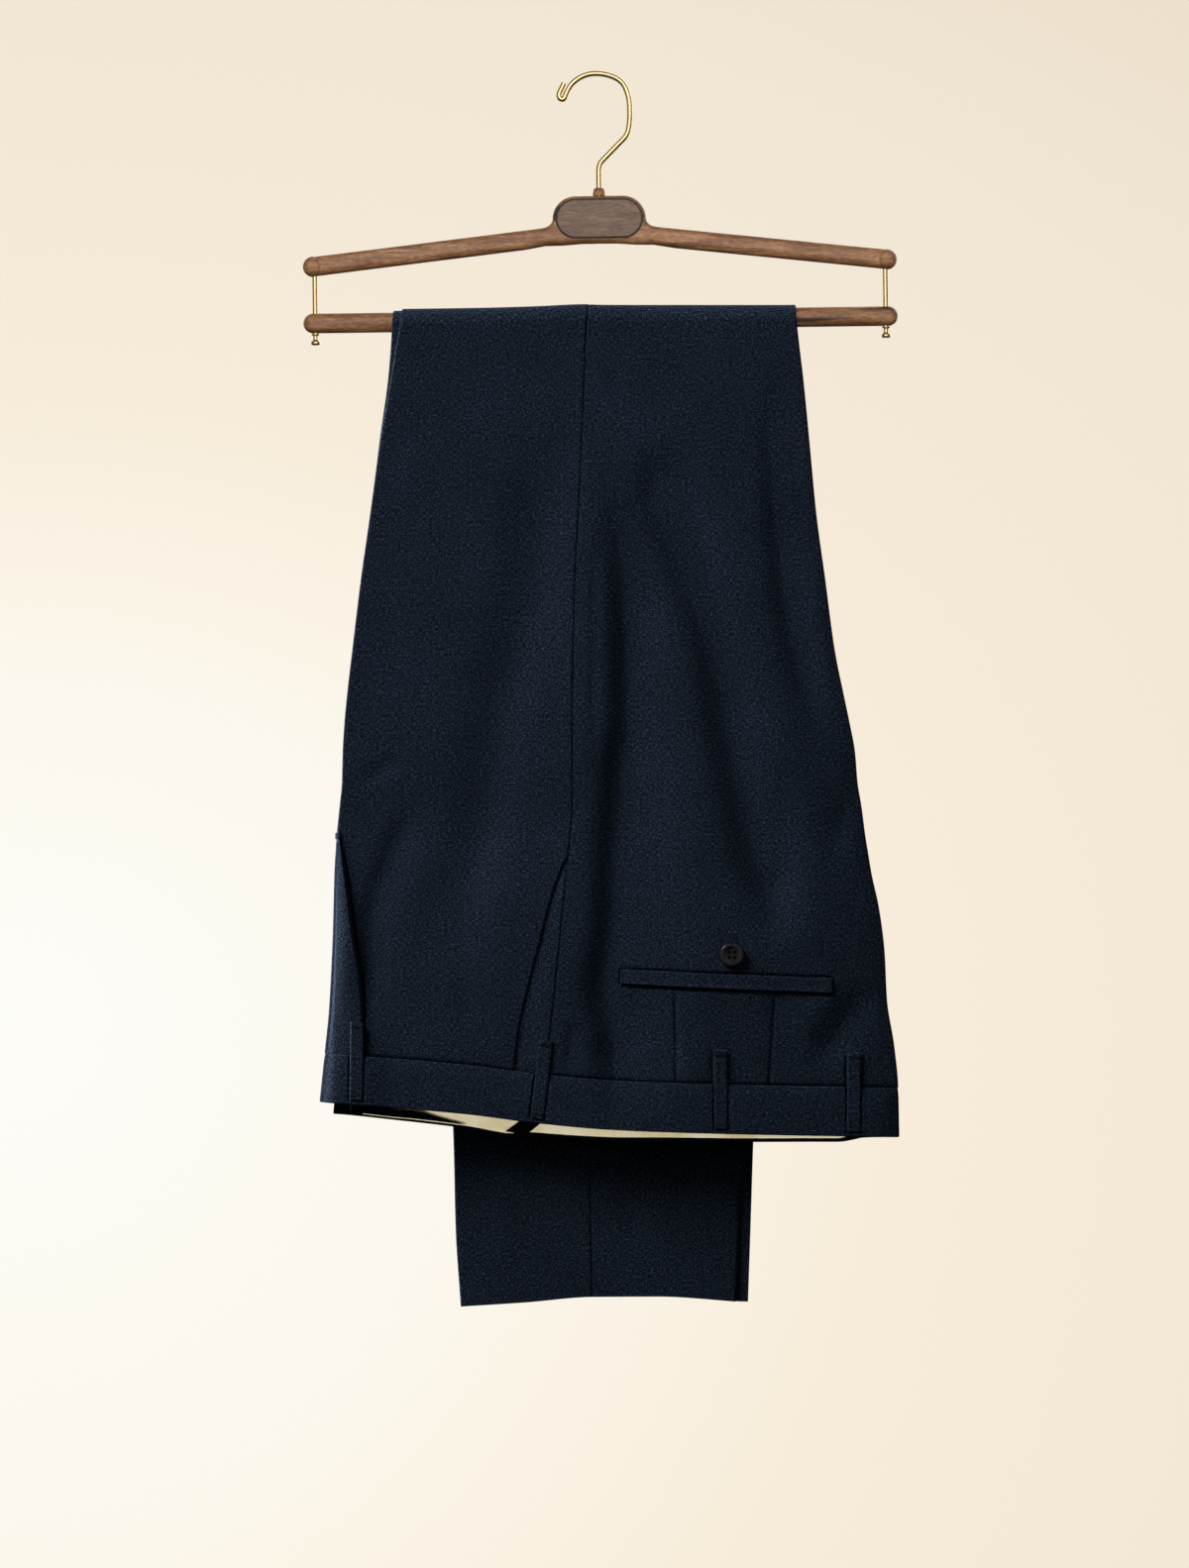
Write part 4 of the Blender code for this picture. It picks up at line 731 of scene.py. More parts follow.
def back_cut(z, side):
    """The back's cut at a level of the front fall."""
    row = half_section(z, side)
    surface = lambda x: stand(x, row, side) + back_sewing(x, row)
    if z > CROTCH_FORK:
        return leg_columns(row, row.back, BACK_COLUMNS, surface)
    start = row.seam + GAP / 2
    turn = crease_turn(row.back, -1, z)
    x = start + (turn[0, 0] - start) * BACK_COLUMNS[:-1]
    closed = np.repeat(turn[-1:], len(WING_COLUMNS) - 1, 0)
    return np.vstack([paired(x, surface(x)), turn, closed])


def pleat_path(row):
    """The pleat in plan, from its outer fold: two turns and the depth between them."""
    turn = math.radians(row.turn)
    angle = turn * np.arange(1, PLEAT_STEPS + 1) / PLEAT_STEPS
    first = np.stack([-TURN * np.sin(angle), -TURN * (1 - np.cos(angle))], -1)
    deep = first[-1] - row.under * np.array([math.cos(turn), math.sin(turn)])
    back = turn * np.arange(PLEAT_STEPS - 1, -1, -1) / PLEAT_STEPS
    second = deep + TURN * np.stack([np.sin(back) - math.sin(turn), math.cos(turn) - np.cos(back)], -1)
    return np.vstack([first, deep, second])


def centre_wall(row, side, start, end):
    """The wall from a pleat's inner turn to the crease: under the fold, then rolled up in front of it."""
    inner_x, inner_offset = start
    edge = min(row.pleat - GAP - WALL / 2, inner_x)
    over = min(ROLL_EDGE, (edge - end) / 2)
    x = np.concatenate([inner_x + (edge - inner_x) * HIDDEN_COLUMNS, edge - over * ROLL_COLUMNS,
                        edge - over + (end - edge + over) * CENTRE_COLUMNS])
    seen = stand(x, row, side)
    return paired(x, inner_offset + (seen - inner_offset) * ease((edge - x) / over))


def front_cut(z, side):
    """The front's cut at a level of the front fall, with its pleat below the fork."""
    row = half_section(z, side)
    surface = lambda x: stand(x, row, side) - roll_behind(x, row, side) + front_sewing(x, row)
    if z > CROTCH_FORK:
        return with_spare(leg_columns(row, row.front, FRONT_COLUMNS, surface))
    mouth = row.mouth - GAP / 2
    turn = crease_turn(row.front, 1, z)
    closed = np.repeat(turn[-1:], len(WING_COLUMNS) - 1, 0)
    fold = max(row.pleat + TURN + WALL / 2, turn[0, 0]) if row.turn > 0 else turn[0, 0]
    x = mouth + (fold - mouth) * FRONT_COLUMNS
    points = paired(x, surface(x))
    if row.turn <= 0:
        return with_spare(np.vstack([points[:-1], turn, closed]))
    pleat = points[-1] + pleat_path(row)
    return np.vstack([points, pleat, centre_wall(row, side, pleat[-1], turn[0, 0]), turn, closed])


def behind_cut(z, side, is_front):
    """A panel's cut at a level of the back fall."""
    values = [float(read(BACK_FALL, column, z)) for column in Leg._fields[1:]]
    shift = float(read(NEAR_LEG_SHIFT, "x", z)) if side == NEAR else 0.0
    leg = Leg(z, *[value + shift for value in values[:3]], values[3])
    row = half_section(BAR_LEVEL, NEAR)._replace(front=leg.front, seam=leg.seam, back=leg.back)
    edge = leg.front if is_front else leg.back
    columns = FRONT_COLUMNS if is_front else BACK_COLUMNS
    deep = SEAM_DIP if is_front else BACK_DIP
    points = leg_columns(row, edge, columns, lambda x: leg_stand(x, leg, side) + dip(x - leg.seam, deep))
    return with_spare(points) if is_front else points


# ---------------- meshes
def thicken(points, wall):
    """Both faces of a wall along a cut of (x, offset) points, mitred at its corners."""
    step = np.diff(points, axis=0)
    length = np.hypot(*step.T)
    real = length > SAME_POINT
    normal = np.stack([-step[:, 1], step[:, 0]], -1) / np.maximum(length, SAME_POINT)[:, None]
    numbers = np.arange(len(step))
    before = np.maximum.accumulate(np.where(real, numbers, -1))
    after = np.minimum.accumulate(np.where(real, numbers, len(step))[::-1])[::-1]
    before = np.concatenate([[-1], before])
    after = np.concatenate([after, [len(step)]])
    before = np.where(before < 0, after, before)
    after = np.where(after >= len(step), before, after)
    total = normal[before] + normal[after]
    reach = np.broadcast_to(wall, len(points)) / np.maximum((total ** 2).sum(1), MITRE)
    return points + total * reach[:, None], points - total * reach[:, None]


Cut = namedtuple("Cut", "points wall place v")
Flat = namedtuple("Flat", "width length area")
PIECES = {}             # finished pieces by their material slot


def new_object(name, data):
    """An object in the scene, at the origin."""
    made = bpy.data.objects.new(name, data)
    bpy.context.scene.collection.objects.link(made)
    return made


def dressed(piece, material):
    """A piece, of one material all over."""
    piece.data.materials.clear()
    piece.data.materials.append(material)
    return piece


def filled_mesh(name, work):
    """A new mesh from a bmesh, which is then freed."""
    mesh = bpy.data.meshes.new(name)
    work.to_mesh(mesh)
    work.free()
    return mesh


def mesh_points(mesh):
    """The places of a mesh's points, one row each."""
    points = np.zeros(len(mesh.vertices) * 3, np.float32)
    mesh.vertices.foreach_get("co", points)
    return points.reshape(-1, 3)


def unwrap(mesh, name, uv):
    """Gives a mesh a UV map from the places of its points on it."""
    corner = np.zeros(len(mesh.loops), np.int32)
    mesh.loops.foreach_get("vertex_index", corner)
    mesh.uv_layers.new(name=name).uv.foreach_set("vector", uv[corner].astype(np.float32).ravel())


def tidy_mesh(mesh, angle=CLOTH_ANGLE):
    """Closes doubles, turns faces outwards and shades a mesh smooth up to an angle."""
    work = bmesh.new()
    work.from_mesh(mesh)
    bmesh.ops.remove_doubles(work, verts=work.verts, dist=MERGE)
    bmesh.ops.recalc_face_normals(work, faces=work.faces)
    work.to_mesh(mesh)
    work.free()
    mesh.shade_smooth()
    mesh.set_sharp_from_angle(angle=math.radians(angle))
    return mesh


def cloth(name, cuts, angle=CLOTH_ANGLE):
    """A sheet of cloth lofted through its cuts, with its thickness, as one closed wall.

    Its UV map, in metres, is unrolled along the cuts and from cut to cut.
    """
    rings, maps, widths = [], [], []
    for cut in cuts:
        one, other = thicken(cut.points, cut.wall)
        ring = np.vstack([one, other[::-1]])
        rings.append(cut.place(ring[:, 0], ring[:, 1]))
        run = np.concatenate([[0.0], np.cumsum(np.hypot(*np.diff(cut.points, axis=0).T))])
        widths.append(run[-1] * MM)
        run = cut.points[0, 0] + run * np.sign(cut.points[1, 0] - cut.points[0, 0])
        maps.append(np.stack([np.concatenate([run, run[::-1]]), np.full(len(ring), cut.v)], -1) * MM)
    count = len(rings[0])
    i = np.arange(count)
    j = (i + 1) % count
    faces = [np.stack([r * count + i, r * count + j, (r + 1) * count + j, (r + 1) * count + i], -1)
             for r in range(len(rings) - 1)]
    k = np.arange(count // 2 - 1)
    for start in (0, (len(rings) - 1) * count):
        faces.append(start + np.stack([k, k + 1, count - 2 - k, count - 1 - k], -1))
    widths, along = np.array(widths), np.array([cut.v for cut in cuts]) * MM
    mesh = bpy.data.meshes.new(name)
    mesh.from_pydata(np.vstack(rings).tolist(), [], np.vstack(faces).tolist())
    unwrap(mesh, "cloth", np.vstack(maps))
    return new_object(name, tidy_mesh(mesh, angle))


def joined(name, meshes):
    """Several meshes as one piece, each with its own shading kept."""
    work = bmesh.new()
    for mesh in meshes:
        work.from_mesh(mesh)
        bpy.data.meshes.remove(mesh)
    return new_object(name, filled_mesh(name, work))


def settled(piece, slot, *nodes, rests_on=None, look=None):
    """A finished piece rides on the one body, takes its slot and stands for its nodes.

    It is made of its slot's material, or of the one named in look. Its rests_on is not used.
    """
    dressed(piece, material_of(look or slot))
    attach(piece, "root")
    if nodes:
        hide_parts(*nodes)
    PIECES.setdefault(slot, []).append(piece)
    return piece


def turned(profile, steps, place=Matrix.Identity(4)):
    """A mesh turned round Z from a profile of (radius, height), top to bottom."""
    work = bmesh.new()
    angles = 2 * math.pi * np.arange(steps) / steps
    rings = [[work.verts.new((r * math.cos(a) * MM, r * math.sin(a) * MM, h * MM)) for a in angles]
             for r, h in profile]
    for upper, lower in zip(rings, rings[1:]):
        for k in range(steps):
            after = (k + 1) % steps
            work.faces.new((upper[k], upper[after], lower[after], lower[k]))
    work.transform(place)
    return tidy_mesh(filled_mesh("turned", work))


def evaluated_mesh(obj):
    """The finished mesh of an object with its modifiers, which is then removed."""
    bpy.context.view_layer.update()
    source = obj.evaluated_get(bpy.context.evaluated_depsgraph_get())
    mesh = bpy.data.meshes.new_from_object(source)
    mesh.transform(obj.matrix_world)
    bpy.data.objects.remove(obj)
    return mesh


def cut_away(piece, cutters):
    """A piece's mesh without what its cutters take from it. They are all removed."""
    for cutter in cutters:
        cut = piece.modifiers.new(cutter.name, "BOOLEAN")
        cut.operation = "DIFFERENCE"
        cut.object = cutter
    mesh = evaluated_mesh(piece)
    for cutter in cutters:
        bpy.data.objects.remove(cutter)
    return mesh


def curve_mesh(name, points, closed=False, **settings):
    """The mesh of a curve straight from point to point, with its own bevel."""
    curve = bpy.data.curves.new(name, "CURVE")
    for key, value in settings.items():
        setattr(curve, key, value)
    spline = curve.splines.new("POLY")
    spline.points.add(len(points) - 1)
    spline.use_cyclic_u = closed
    for target, place in zip(spline.points, points):
        target.co = (*[MM * value for value in place], 1.0)
    return evaluated_mesh(new_object(name, curve))


# ---------------- trousers
def make_panel(name, side, is_front):
    """A front or a back: front fall, over the bar and back fall in one sheet."""
    cut = front_cut if is_front else back_cut
    step = bpy.context.scene.trousers_cut.grid
    fine = [(WAIST_SEAM, WAIST_SEAM + 3.5)]
    if not is_front:
        fine.insert(0, (WELT_LEVEL[1] - 9.0, WELT_LEVEL[0] + 8.5))
    levels = spread(PANEL_END, BAR_LEVEL, step, fine, FINE_STEP)
    last = cut(levels[0], side)
    cuts = []
    for row in reversed(ALLOWANCE):
        z = levels[0] - row.below
        under = np.stack([last[:, 0], np.maximum(last[:, 1] - row.deep, SEAM_STOP)], -1)
        cuts.append(Cut(under, row.wall, on_front(z, side), z))
    cuts += [Cut(cut(z, side), WALL, on_front(z, side), z) for z in levels]
    before = cut(BAR_LEVEL, side)
    after = behind_cut(BAR_LEVEL, side, is_front)
    reach = BAR_RADIUS + MIDDLE
    for number in range(1, BAR_STEPS):
        t = number / BAR_STEPS
        angle = math.pi * t
        points = before + (after - before) * t
        cuts.append(Cut(points, WALL, on_bar(angle, side), BAR_LEVEL + reach * angle))
    over = BAR_LEVEL + reach * math.pi
    for z in spread(BAR_LEVEL, HEM, 2 * step):
        cuts.append(Cut(behind_cut(z, side, is_front), WALL, on_back(z, side), over + BAR_LEVEL - z))
    return cloth(name, cuts)


def make_facing(name, side):
    """The pocket facing: it shows between the slanting mouth and the outseam."""
    cuts = []
    for z in spread(POCKET_TOP, PANEL_END, FACING_STEP):
        row = half_section(z, side)
        end = row.seam - GAP / 2
        start = row.mouth - FACING_UNDER
        x = start + (end - start) * FACING_COLUMNS
        width = max(row.seam - row.mouth, GAP)
        rise = ease(width / FACING_RISE) * ease((x - row.mouth) / width)
        offset = stand(x, row, side) - PITCH * (1 - rise) + dip(x - row.seam) * rise
        offset = offset + dip(z - WAIST_SEAM, WAIST_DIP, TURN_IN)
        cuts.append(Cut(paired(x, offset), WALL, on_front(z, side), z))
    for row in ALLOWANCE:
        below = z - row.below
        cuts.append(Cut(paired(x, offset - row.deep), row.wall, on_front(below, side), below))
    return cloth(name, cuts)


def band_stand(x, z, side):
    """How far the waistband's middle stands out."""
    row = half_section(z, side)
    ends = np.minimum(x - row.front, row.back - x)
    off_seam = BAND_RISE + (1 - BAND_RISE) * ease((WAIST_SEAM - z) / BAND_SWELL)
    return stand(x, row, side) + (BAND_WALL - WALL) / 2 * ease(ends / BAND_RAMP) * off_seam


def band_turn():
    """The waistband's turn towards a centre seam, from the seam outwards."""
    angle = np.linspace(0.0, math.pi / 2, 7)
    return np.stack([BAND_WALL / 2 + BAND_TURN * (1 - np.cos(angle)),
                     SEAM_STOP + (OUTER - SEAM_STOP) * np.sin(angle)], -1)


def band_columns(first, last):
    """Columns across the waistband, closer together beside its belt loops."""
    places = [np.linspace(first, last, BAND_COLUMNS)[1:-1]]
    for loop in BELT_LOOPS:
        for beside in (-1, 1):
            middle = loop.x + beside * (LOOP_WIDTH / 2 + LOOP_GROOVE_HALF)
            reach = abs(loop.lean) / 2 + 2 * LOOP_GROOVE_HALF
            places.append(np.arange(middle - reach, middle + reach, LOOP_GROOVE_STEP))
    columns = np.unique(np.round(np.concatenate(places), 3))
    return columns[(columns > first + LOOP_GROOVE_STEP) & (columns < last - LOOP_GROOVE_STEP)]


def make_waistband(name, side):
    """One half of the waistband, from centre front to centre back."""
    cuts = []
    top = WAIST_SEAM - GAP / 2
    for z in spread(top, WAIST_EDGE, BAND_STEP, edge_ranges(WAIST_EDGE, top, 2 * BAND_EDGE), EDGE_STEP):
        row = half_section(z, side)
        left = band_turn() + (row.front, 0)
        right = band_turn()[::-1] * (-1, 1) + (row.back, 0)
        x = band_columns(left[-1, 0], right[0, 0])
        middle = band_stand(x, z, side) - under_loops(x, z)
        points = np.vstack([left, paired(x, middle), right])
        edge = min(top - z, z - WAIST_EDGE)
        swell = BAND_LEAST + (1 - BAND_LEAST) * ease((top - z) / BAND_SWELL)
        cuts.append(Cut(points, BAND_WALL * swell * rounding(edge, BAND_EDGE), on_front(z, side), z))
    return cloth(name, cuts, FOLD_ANGLE)


def lining_sunk(x):
    """How much lower the lining lies towards the pleat."""
    return LINING_SINK * ease((LINING_LOW - x) / LINING_SLOPE)


def strip_on(name, side, levels, lift, columns, wall, short=lambda x, z: 0.0, least=LEAST_STAND):
    """A piece that lies inside the waistband. lift is added to the band's stand, short to the height."""
    cuts = []
    for z in levels:
        x = columns(z)
        offset = np.maximum(least, band_stand(x, z, side) + lift(x, z))
        edge = min(abs(z - levels[0]), abs(z - levels[-1]))
        sides = np.minimum(np.abs(x - x[0]), np.abs(x - x[-1]))
        thickness = wall * rounding(edge, STRIP_EDGE) * rounding(sides, STRIP_EDGE)
        level = lambda at, z=z: z + short(at, z)
        cuts.append(Cut(paired(x, offset), thickness, on_front(level, side), z))
    return cloth(name, cuts, FOLD_ANGLE)


def make_lining(name, side):
    """The waistband's lining, shown inside the far half and under the near one."""
    def lift(x, z):
        off = np.maximum(0.0, np.abs(x - FACING_MIDDLE) - FACING_HALF)
        above = ease((z - WAIST_SEAM - FACING_OVER[0]) / FACING_OVER[1])
        return LINING_LIFT - UNDER_FACING * (1 - ease(off / FACING_FADE)) * above - lining_sunk(x)

    levels = spread(LINING_TOP, WAIST_EDGE, BAND_STEP, ((WAIST_EDGE, WAIST_EDGE + 1.0),), 0.4)
    start = LINING_ENDS[0] if side == FAR else LINING_LOW
    columns = lambda z: np.linspace(start, LINING_ENDS[1], BAND_COLUMNS)
    short = lambda x, z: read(LINING_SHORT, "by", x) * ease((WAIST_SEAM - z) / (WAIST_SEAM - WAIST_EDGE))
    return strip_on(name, side, levels, lift, columns, WALL, short)


def make_extension():
    """The waistband's self-cloth extension, inside the far half at centre front."""
    rise = LINING_LIFT - WALL / 2 - GAP - TAPE_WALL / 2
    low = EXTENSION[0].z
    levels = spread(WAIST_SEAM - EXTENSION_BELOW, low, BAND_STEP / 2, ((low, low + 1.0),), EDGE_STEP)
    columns = lambda z: np.linspace(EXTENSION_START, read(EXTENSION, "end", z), EXTENSION_COLUMNS)
    lift = lambda x, z: rise - lining_sunk(x)
    least = LEAST_STAND - (WALL + TAPE_WALL) / 2 - GAP
    return strip_on("extension_cloth", FAR, levels, lift, columns, TAPE_WALL, least=least)


def make_hanging_loop():
    """A short ribbon, sewn slantwise on the lining."""
    levels = spread(RIBBON_RUN[0].z, RIBBON_RUN[-1].z, 2.0)
    columns = lambda z: np.linspace(*RIBBON_ENDS, RIBBON_COLUMNS) - read(RIBBON_RUN, "by", z)
    lift = lambda x, z: LINING_LIFT - PITCH
    return strip_on("hanging_ribbon", FAR, levels, lift, columns, WALL)


def loop_grooves(x, z):
    """The narrow grooves that the back's tight belt loops press into the cloth beside them."""
    within = ease((LOOP_TOP - z) / LOOP_GROOVE_FADE) * ease((z - LOOP_END) / LOOP_GROOVE_FADE)
    total = 0.0
    for loop in BELT_LOOPS[2:]:
        edge = loop_middle(loop, z) - (LOOP_WIDTH / 2 + LOOP_GROOVE_HALF)
        total = total + dip(x - edge, LOOP_GROOVE, LOOP_GROOVE_HALF) * within
    return total


def under_loops(x, z):
    """How far the band gives way under its belt loops, and a little beside them."""
    total = 0.0
    for loop in BELT_LOOPS:
        off = np.abs(x - loop_middle(loop, z)) - LOOP_WIDTH / 2
        total = total + LOOP_PRESS * ease((2 * LOOP_GROOVE_HALF - off) / LOOP_GROOVE_HALF)
    return total * ease((z - LOOP_END + LOOP_PRESS_END[0]) / LOOP_PRESS_END[1])


def loop_offset(x, z, side):
    """The middle of a belt loop's tape, out from the middle plane. It climbs from the panel to the band."""
    row = half_section(z, side)
    low = stand(x, row, side) + WALL / 2 + GAP + LOOP_WALL / 2
    high = band_stand(x, np.minimum(z, WAIST_SEAM), side) - LOOP_PRESS + BAND_WALL / 2 + GAP + LOOP_WALL / 2
    return low + (np.maximum(high, low) - low) * ease((LOOP_TOP - z) / LOOP_CLIMB)


def loop_middle(loop, z):
    """The middle of a leaning belt loop at a level."""
    return loop.x + loop.lean * ((z - LOOP_END) / (LOOP_TOP - LOOP_END) - 0.5)


def make_belt_loop(name, side, loop):
    """A belt loop of folded tape, its ends turned under and tacked."""
    cuts = []
    fine = edge_ranges(LOOP_END, LOOP_TOP, LOOP_FOLD + 1.2)
    for z in spread(LOOP_TOP, LOOP_END, LOOP_STEPS[0], fine, LOOP_STEPS[1]):
        middle = loop_middle(loop, z)
        x = middle + np.linspace(-LOOP_WIDTH / 2, LOOP_WIDTH / 2, LOOP_COLUMNS)
        row_stand = loop_offset(x, z, side)
        offset = row_stand.mean() * LOOP_STIFF + row_stand * (1 - LOOP_STIFF)
        edge = min(LOOP_TOP - z, z - LOOP_END)
        tack = 1 - LOOP_TACK * math.exp(-((edge - LOOP_FOLD) / LOOP_TACK_HALF) ** 2)
        doubled = 1 + LOOP_DOUBLED * ease(LOOP_FOLD - edge)
        sides = LOOP_WIDTH / 2 - np.abs(x - middle)
        wall = LOOP_WALL * tack * doubled * rounding(edge, LOOP_EDGE) * rounding(sides, LOOP_EDGE)
        cuts.append(Cut(paired(x, np.maximum(offset, row_stand)), wall, on_front(z, side), z))
    return cloth(name, cuts, FOLD_ANGLE)


def welt_level(x, across=0.0):
    """The level of the welt's middle at x, or of a line across from it."""
    t = (x - WELT_ENDS[0]) / (WELT_ENDS[1] - WELT_ENDS[0])
    return WELT_LEVEL[0] + (WELT_LEVEL[1] - WELT_LEVEL[0]) * t + across


def make_welt(name, side):
    """The single welt of a hip pocket, flat on the back, with a soft fold at its mouth."""
    x = spread(*WELT_ENDS, 2.2, edge_ranges(*WELT_ENDS, 2.0), 0.5)
    cuts = []
    half = WELT_HEIGHT / 2
    for across in spread(half, -half, 1.2, edge_ranges(-half, half, 1.2), EDGE_STEP):
        level = lambda at, across=across: welt_level(at, across)
        z = level(x)
        offset = stand(x, half_section(z, side), side) + WALL + GAP
        sides = np.minimum(x - x[0], x[-1] - x)
        fold = 1.0 + WELT_FOLD * ease(1 - (across + half) / WELT_FOLD_HIGH)
        wall = WALL * fold * rounding(half - abs(across), WELT_EDGE) * rounding(sides, WELT_EDGE)
        cuts.append(Cut(paired(x, offset + (fold - 1) * WALL / 2), wall, on_front(level, side), across))
    return cloth(name, cuts, FOLD_ANGLE)


def button_place(side):
    """The frame of a hip button: its face looks out along its own Z."""
    x, z = BUTTON_AT
    at = np.array([x - BUTTON_RADIUS, x, x + BUTTON_RADIUS])
    points = front_point(at, z, stand(at, half_section(z, side), side), side)
    slope = (points[2] - points[0]) / np.linalg.norm(points[2] - points[0])
    out = np.array([slope[1], -slope[0], 0.0]) * side
    lift = (WALL / 2 + GAP + BUTTON_SHANK + BUTTON_THICK / 2) * MM
    place = Matrix.Translation(Vector(points[1] + out * lift))
    across, up = Vector(slope) * side, Vector((0.0, 0.0, 1.0))
    return place @ Matrix((across, up, Vector(out))).transposed().to_4x4()


def make_button(name, side):
    """A turned horn button with a raised rim, a hollow middle and four drilled holes."""
    deep = BUTTON_THICK / 2
    bowl = [(0.0, 0.62), (1.6, 0.64), (3.2, 0.74), (4.4, 0.92), (5.0, 1.12), (5.4, 1.32)]
    rim = [(5.8, deep - 0.04), (6.3, deep), (6.9, deep - 0.05), (7.5, 1.2), (7.85, 0.8), (BUTTON_RADIUS, 0.3)]
    under = [(7.9, -0.3), (7.5, -0.9), (6.6, -1.3), (5.2, -deep), (0.0, -deep)]
    cutters = []
    for number in range(4):
        angle = math.pi / 4 + number * math.pi / 2
        work = bmesh.new()
        bmesh.ops.create_cone(work, cap_ends=True, segments=20, radius1=HOLE_RADIUS * MM,
                              radius2=HOLE_RADIUS * MM, depth=HOLE_LONG * MM)
        work.transform(Matrix.Translation(Vector((math.cos(angle), math.sin(angle), 0.0)) * HOLE_CIRCLE * MM))
        cutters.append(new_object("hole", filled_mesh("hole", work)))
    mesh = cut_away(new_object(name, turned(bowl + rim + under, 64)), cutters)
    mesh.transform(button_place(side))
    return new_object(name, tidy_mesh(mesh, BUTTON_ANGLE))


# ---------------- stitches
Sewing = namedtuple("Sewing", "count half")
LOOP_TACKS = Sewing(12, 0.55)
WELT_TACKS = Sewing(11, 0.6)
HOLE_SIDES = Sewing(14, 0.5)
HOLE_BAR = Sewing(8, 0.7)
LOOP_TACK_IN = 0.7      # tacks lie this far in from a loop's edges
WELT_TACK_IN = (1.2, 0.6)       # and this far in from a welt's ends and edges
HOLE_LIP = 1.0          # the buttonhole's rows lie this far beside its slit
HOLE_BAR_HALF = 2.3


def zigzag(first, last, sewing):
    """Slanting stitches from first to last, (x, z) points: the two ends of each, half a width aside."""
    first, last = np.array(first, float), np.array(last, float)
    step = (last - first) / sewing.count
    aside = np.array([-step[1], step[0]]) / np.linalg.norm(step) * sewing.half
    return [(first + step * k + aside, first + step * (k + 1) - aside) for k in range(sewing.count)]


def stitch_guide(side):
    """One short edge for each stitch that shows: tacks of the loops and welt, and the buttonhole."""
    on_loop = lambda x, z: loop_offset(x, z, side) + LOOP_WALL * 0.6
    on_welt = lambda x, z: stand(x, half_section(z, side), side) + WALL * 1.55 + GAP
    on_cloth = lambda x, z: stand(x, half_section(z, side), side) + WALL * 0.5
    rows = []
    reach = LOOP_WIDTH / 2 - LOOP_TACK_IN
    for loop in BELT_LOOPS:
        for z in (LOOP_TOP - LOOP_FOLD, LOOP_END + LOOP_FOLD):
            middle = loop_middle(loop, z)
            rows.append((on_loop, (middle - reach, z), (middle + reach, z), LOOP_TACKS))
    inset, edge = WELT_TACK_IN
    for x in (WELT_ENDS[0] + inset, WELT_ENDS[1] - inset):
        high, low = welt_level(x, WELT_HEIGHT / 2 - edge), welt_level(x, edge - WELT_HEIGHT / 2)
        rows.append((on_welt, (x, high), (x, low), WELT_TACKS))
    middle, top, bottom = BUTTONHOLE
    for x in (middle - HOLE_LIP, middle + HOLE_LIP):
        rows.append((on_cloth, (x, top), (x, bottom), HOLE_SIDES))
    rows.append((on_cloth, (middle - HOLE_BAR_HALF, top), (middle + HOLE_BAR_HALF, top), HOLE_BAR))
    points = [front_point(x, z, over(np.array([x]), z)[0], side)
              for over, first, last, sewing in rows for pair in zigzag(first, last, sewing) for x, z in pair]
    mesh = bpy.data.meshes.new("stitch_guide")
    mesh.from_pydata([tuple(point) for point in points], [(k, k + 1) for k in range(0, len(points), 2)], [])
    return mesh


def stitch_tree(material):
    """Geometry nodes that lay a plump stitch of thread along every edge of a guide."""
    tree = bpy.data.node_groups.new("stitches", "GeometryNodeTree")
    sockets = {}
    for name, kind in (("Guide", "Geometry"), ("Thread", "Float"), ("Seed", "Int")):
        made = tree.interface.new_socket(name=name, in_out="INPUT", socket_type="NodeSocket" + kind)
        sockets[name] = made.identifier
    tree.interface.new_socket(name="Stitches", in_out="OUTPUT", socket_type="NodeSocketGeometry")
    given = node(tree, "NodeGroupInput")
    ends = node(tree, "GeometryNodeInputMeshEdgeVertices").outputs
    along = node(tree, "ShaderNodeVectorMath", {0: ends["Position 2"], 1: ends["Position 1"]},
                 operation="SUBTRACT")
    kept = node(tree, "GeometryNodeCaptureAttribute", domain="EDGE")
    kept.capture_items.new("VECTOR", "Along")
    tree.links.new(given.outputs["Guide"], kept.inputs["Geometry"])
    tree.links.new(along.outputs[0], kept.inputs["Along"])
    points = node(tree, "GeometryNodeMeshToPoints", {"Mesh": kept.outputs["Geometry"]}, mode="EDGES")
    turn = node(tree, "FunctionNodeAlignRotationToVector", {"Vector": kept.outputs["Along"]}, axis="X")
    uneven = node(tree, "FunctionNodeRandomValue", {"Min": 0.85, "Max": 1.15, "Seed": given.outputs["Seed"]},
                  data_type="FLOAT")
    thick = maths(tree, "MULTIPLY", given.outputs["Thread"], uneven.outputs["Value"])
    size = node(tree, "ShaderNodeCombineXYZ", {"X": length_of(tree, kept.outputs["Along"]), "Y": thick,
                                               "Z": thick})
    bead = node(tree, "GeometryNodeMeshIcoSphere", {"Radius": 0.55, "Subdivisions": 2})
    laid = node(tree, "GeometryNodeInstanceOnPoints", {
        "Points": points.outputs[0], "Instance": bead.outputs[0], "Rotation": turn.outputs[0],
        "Scale": size.outputs[0]})
    real = node(tree, "GeometryNodeRealizeInstances", {"Geometry": laid.outputs[0]})
    dyed = node(tree, "GeometryNodeSetMaterial", {"Geometry": real.outputs[0], "Material": material})
    node(tree, "NodeGroupOutput", {"Stitches": dyed.outputs[0]})
    return tree, sockets


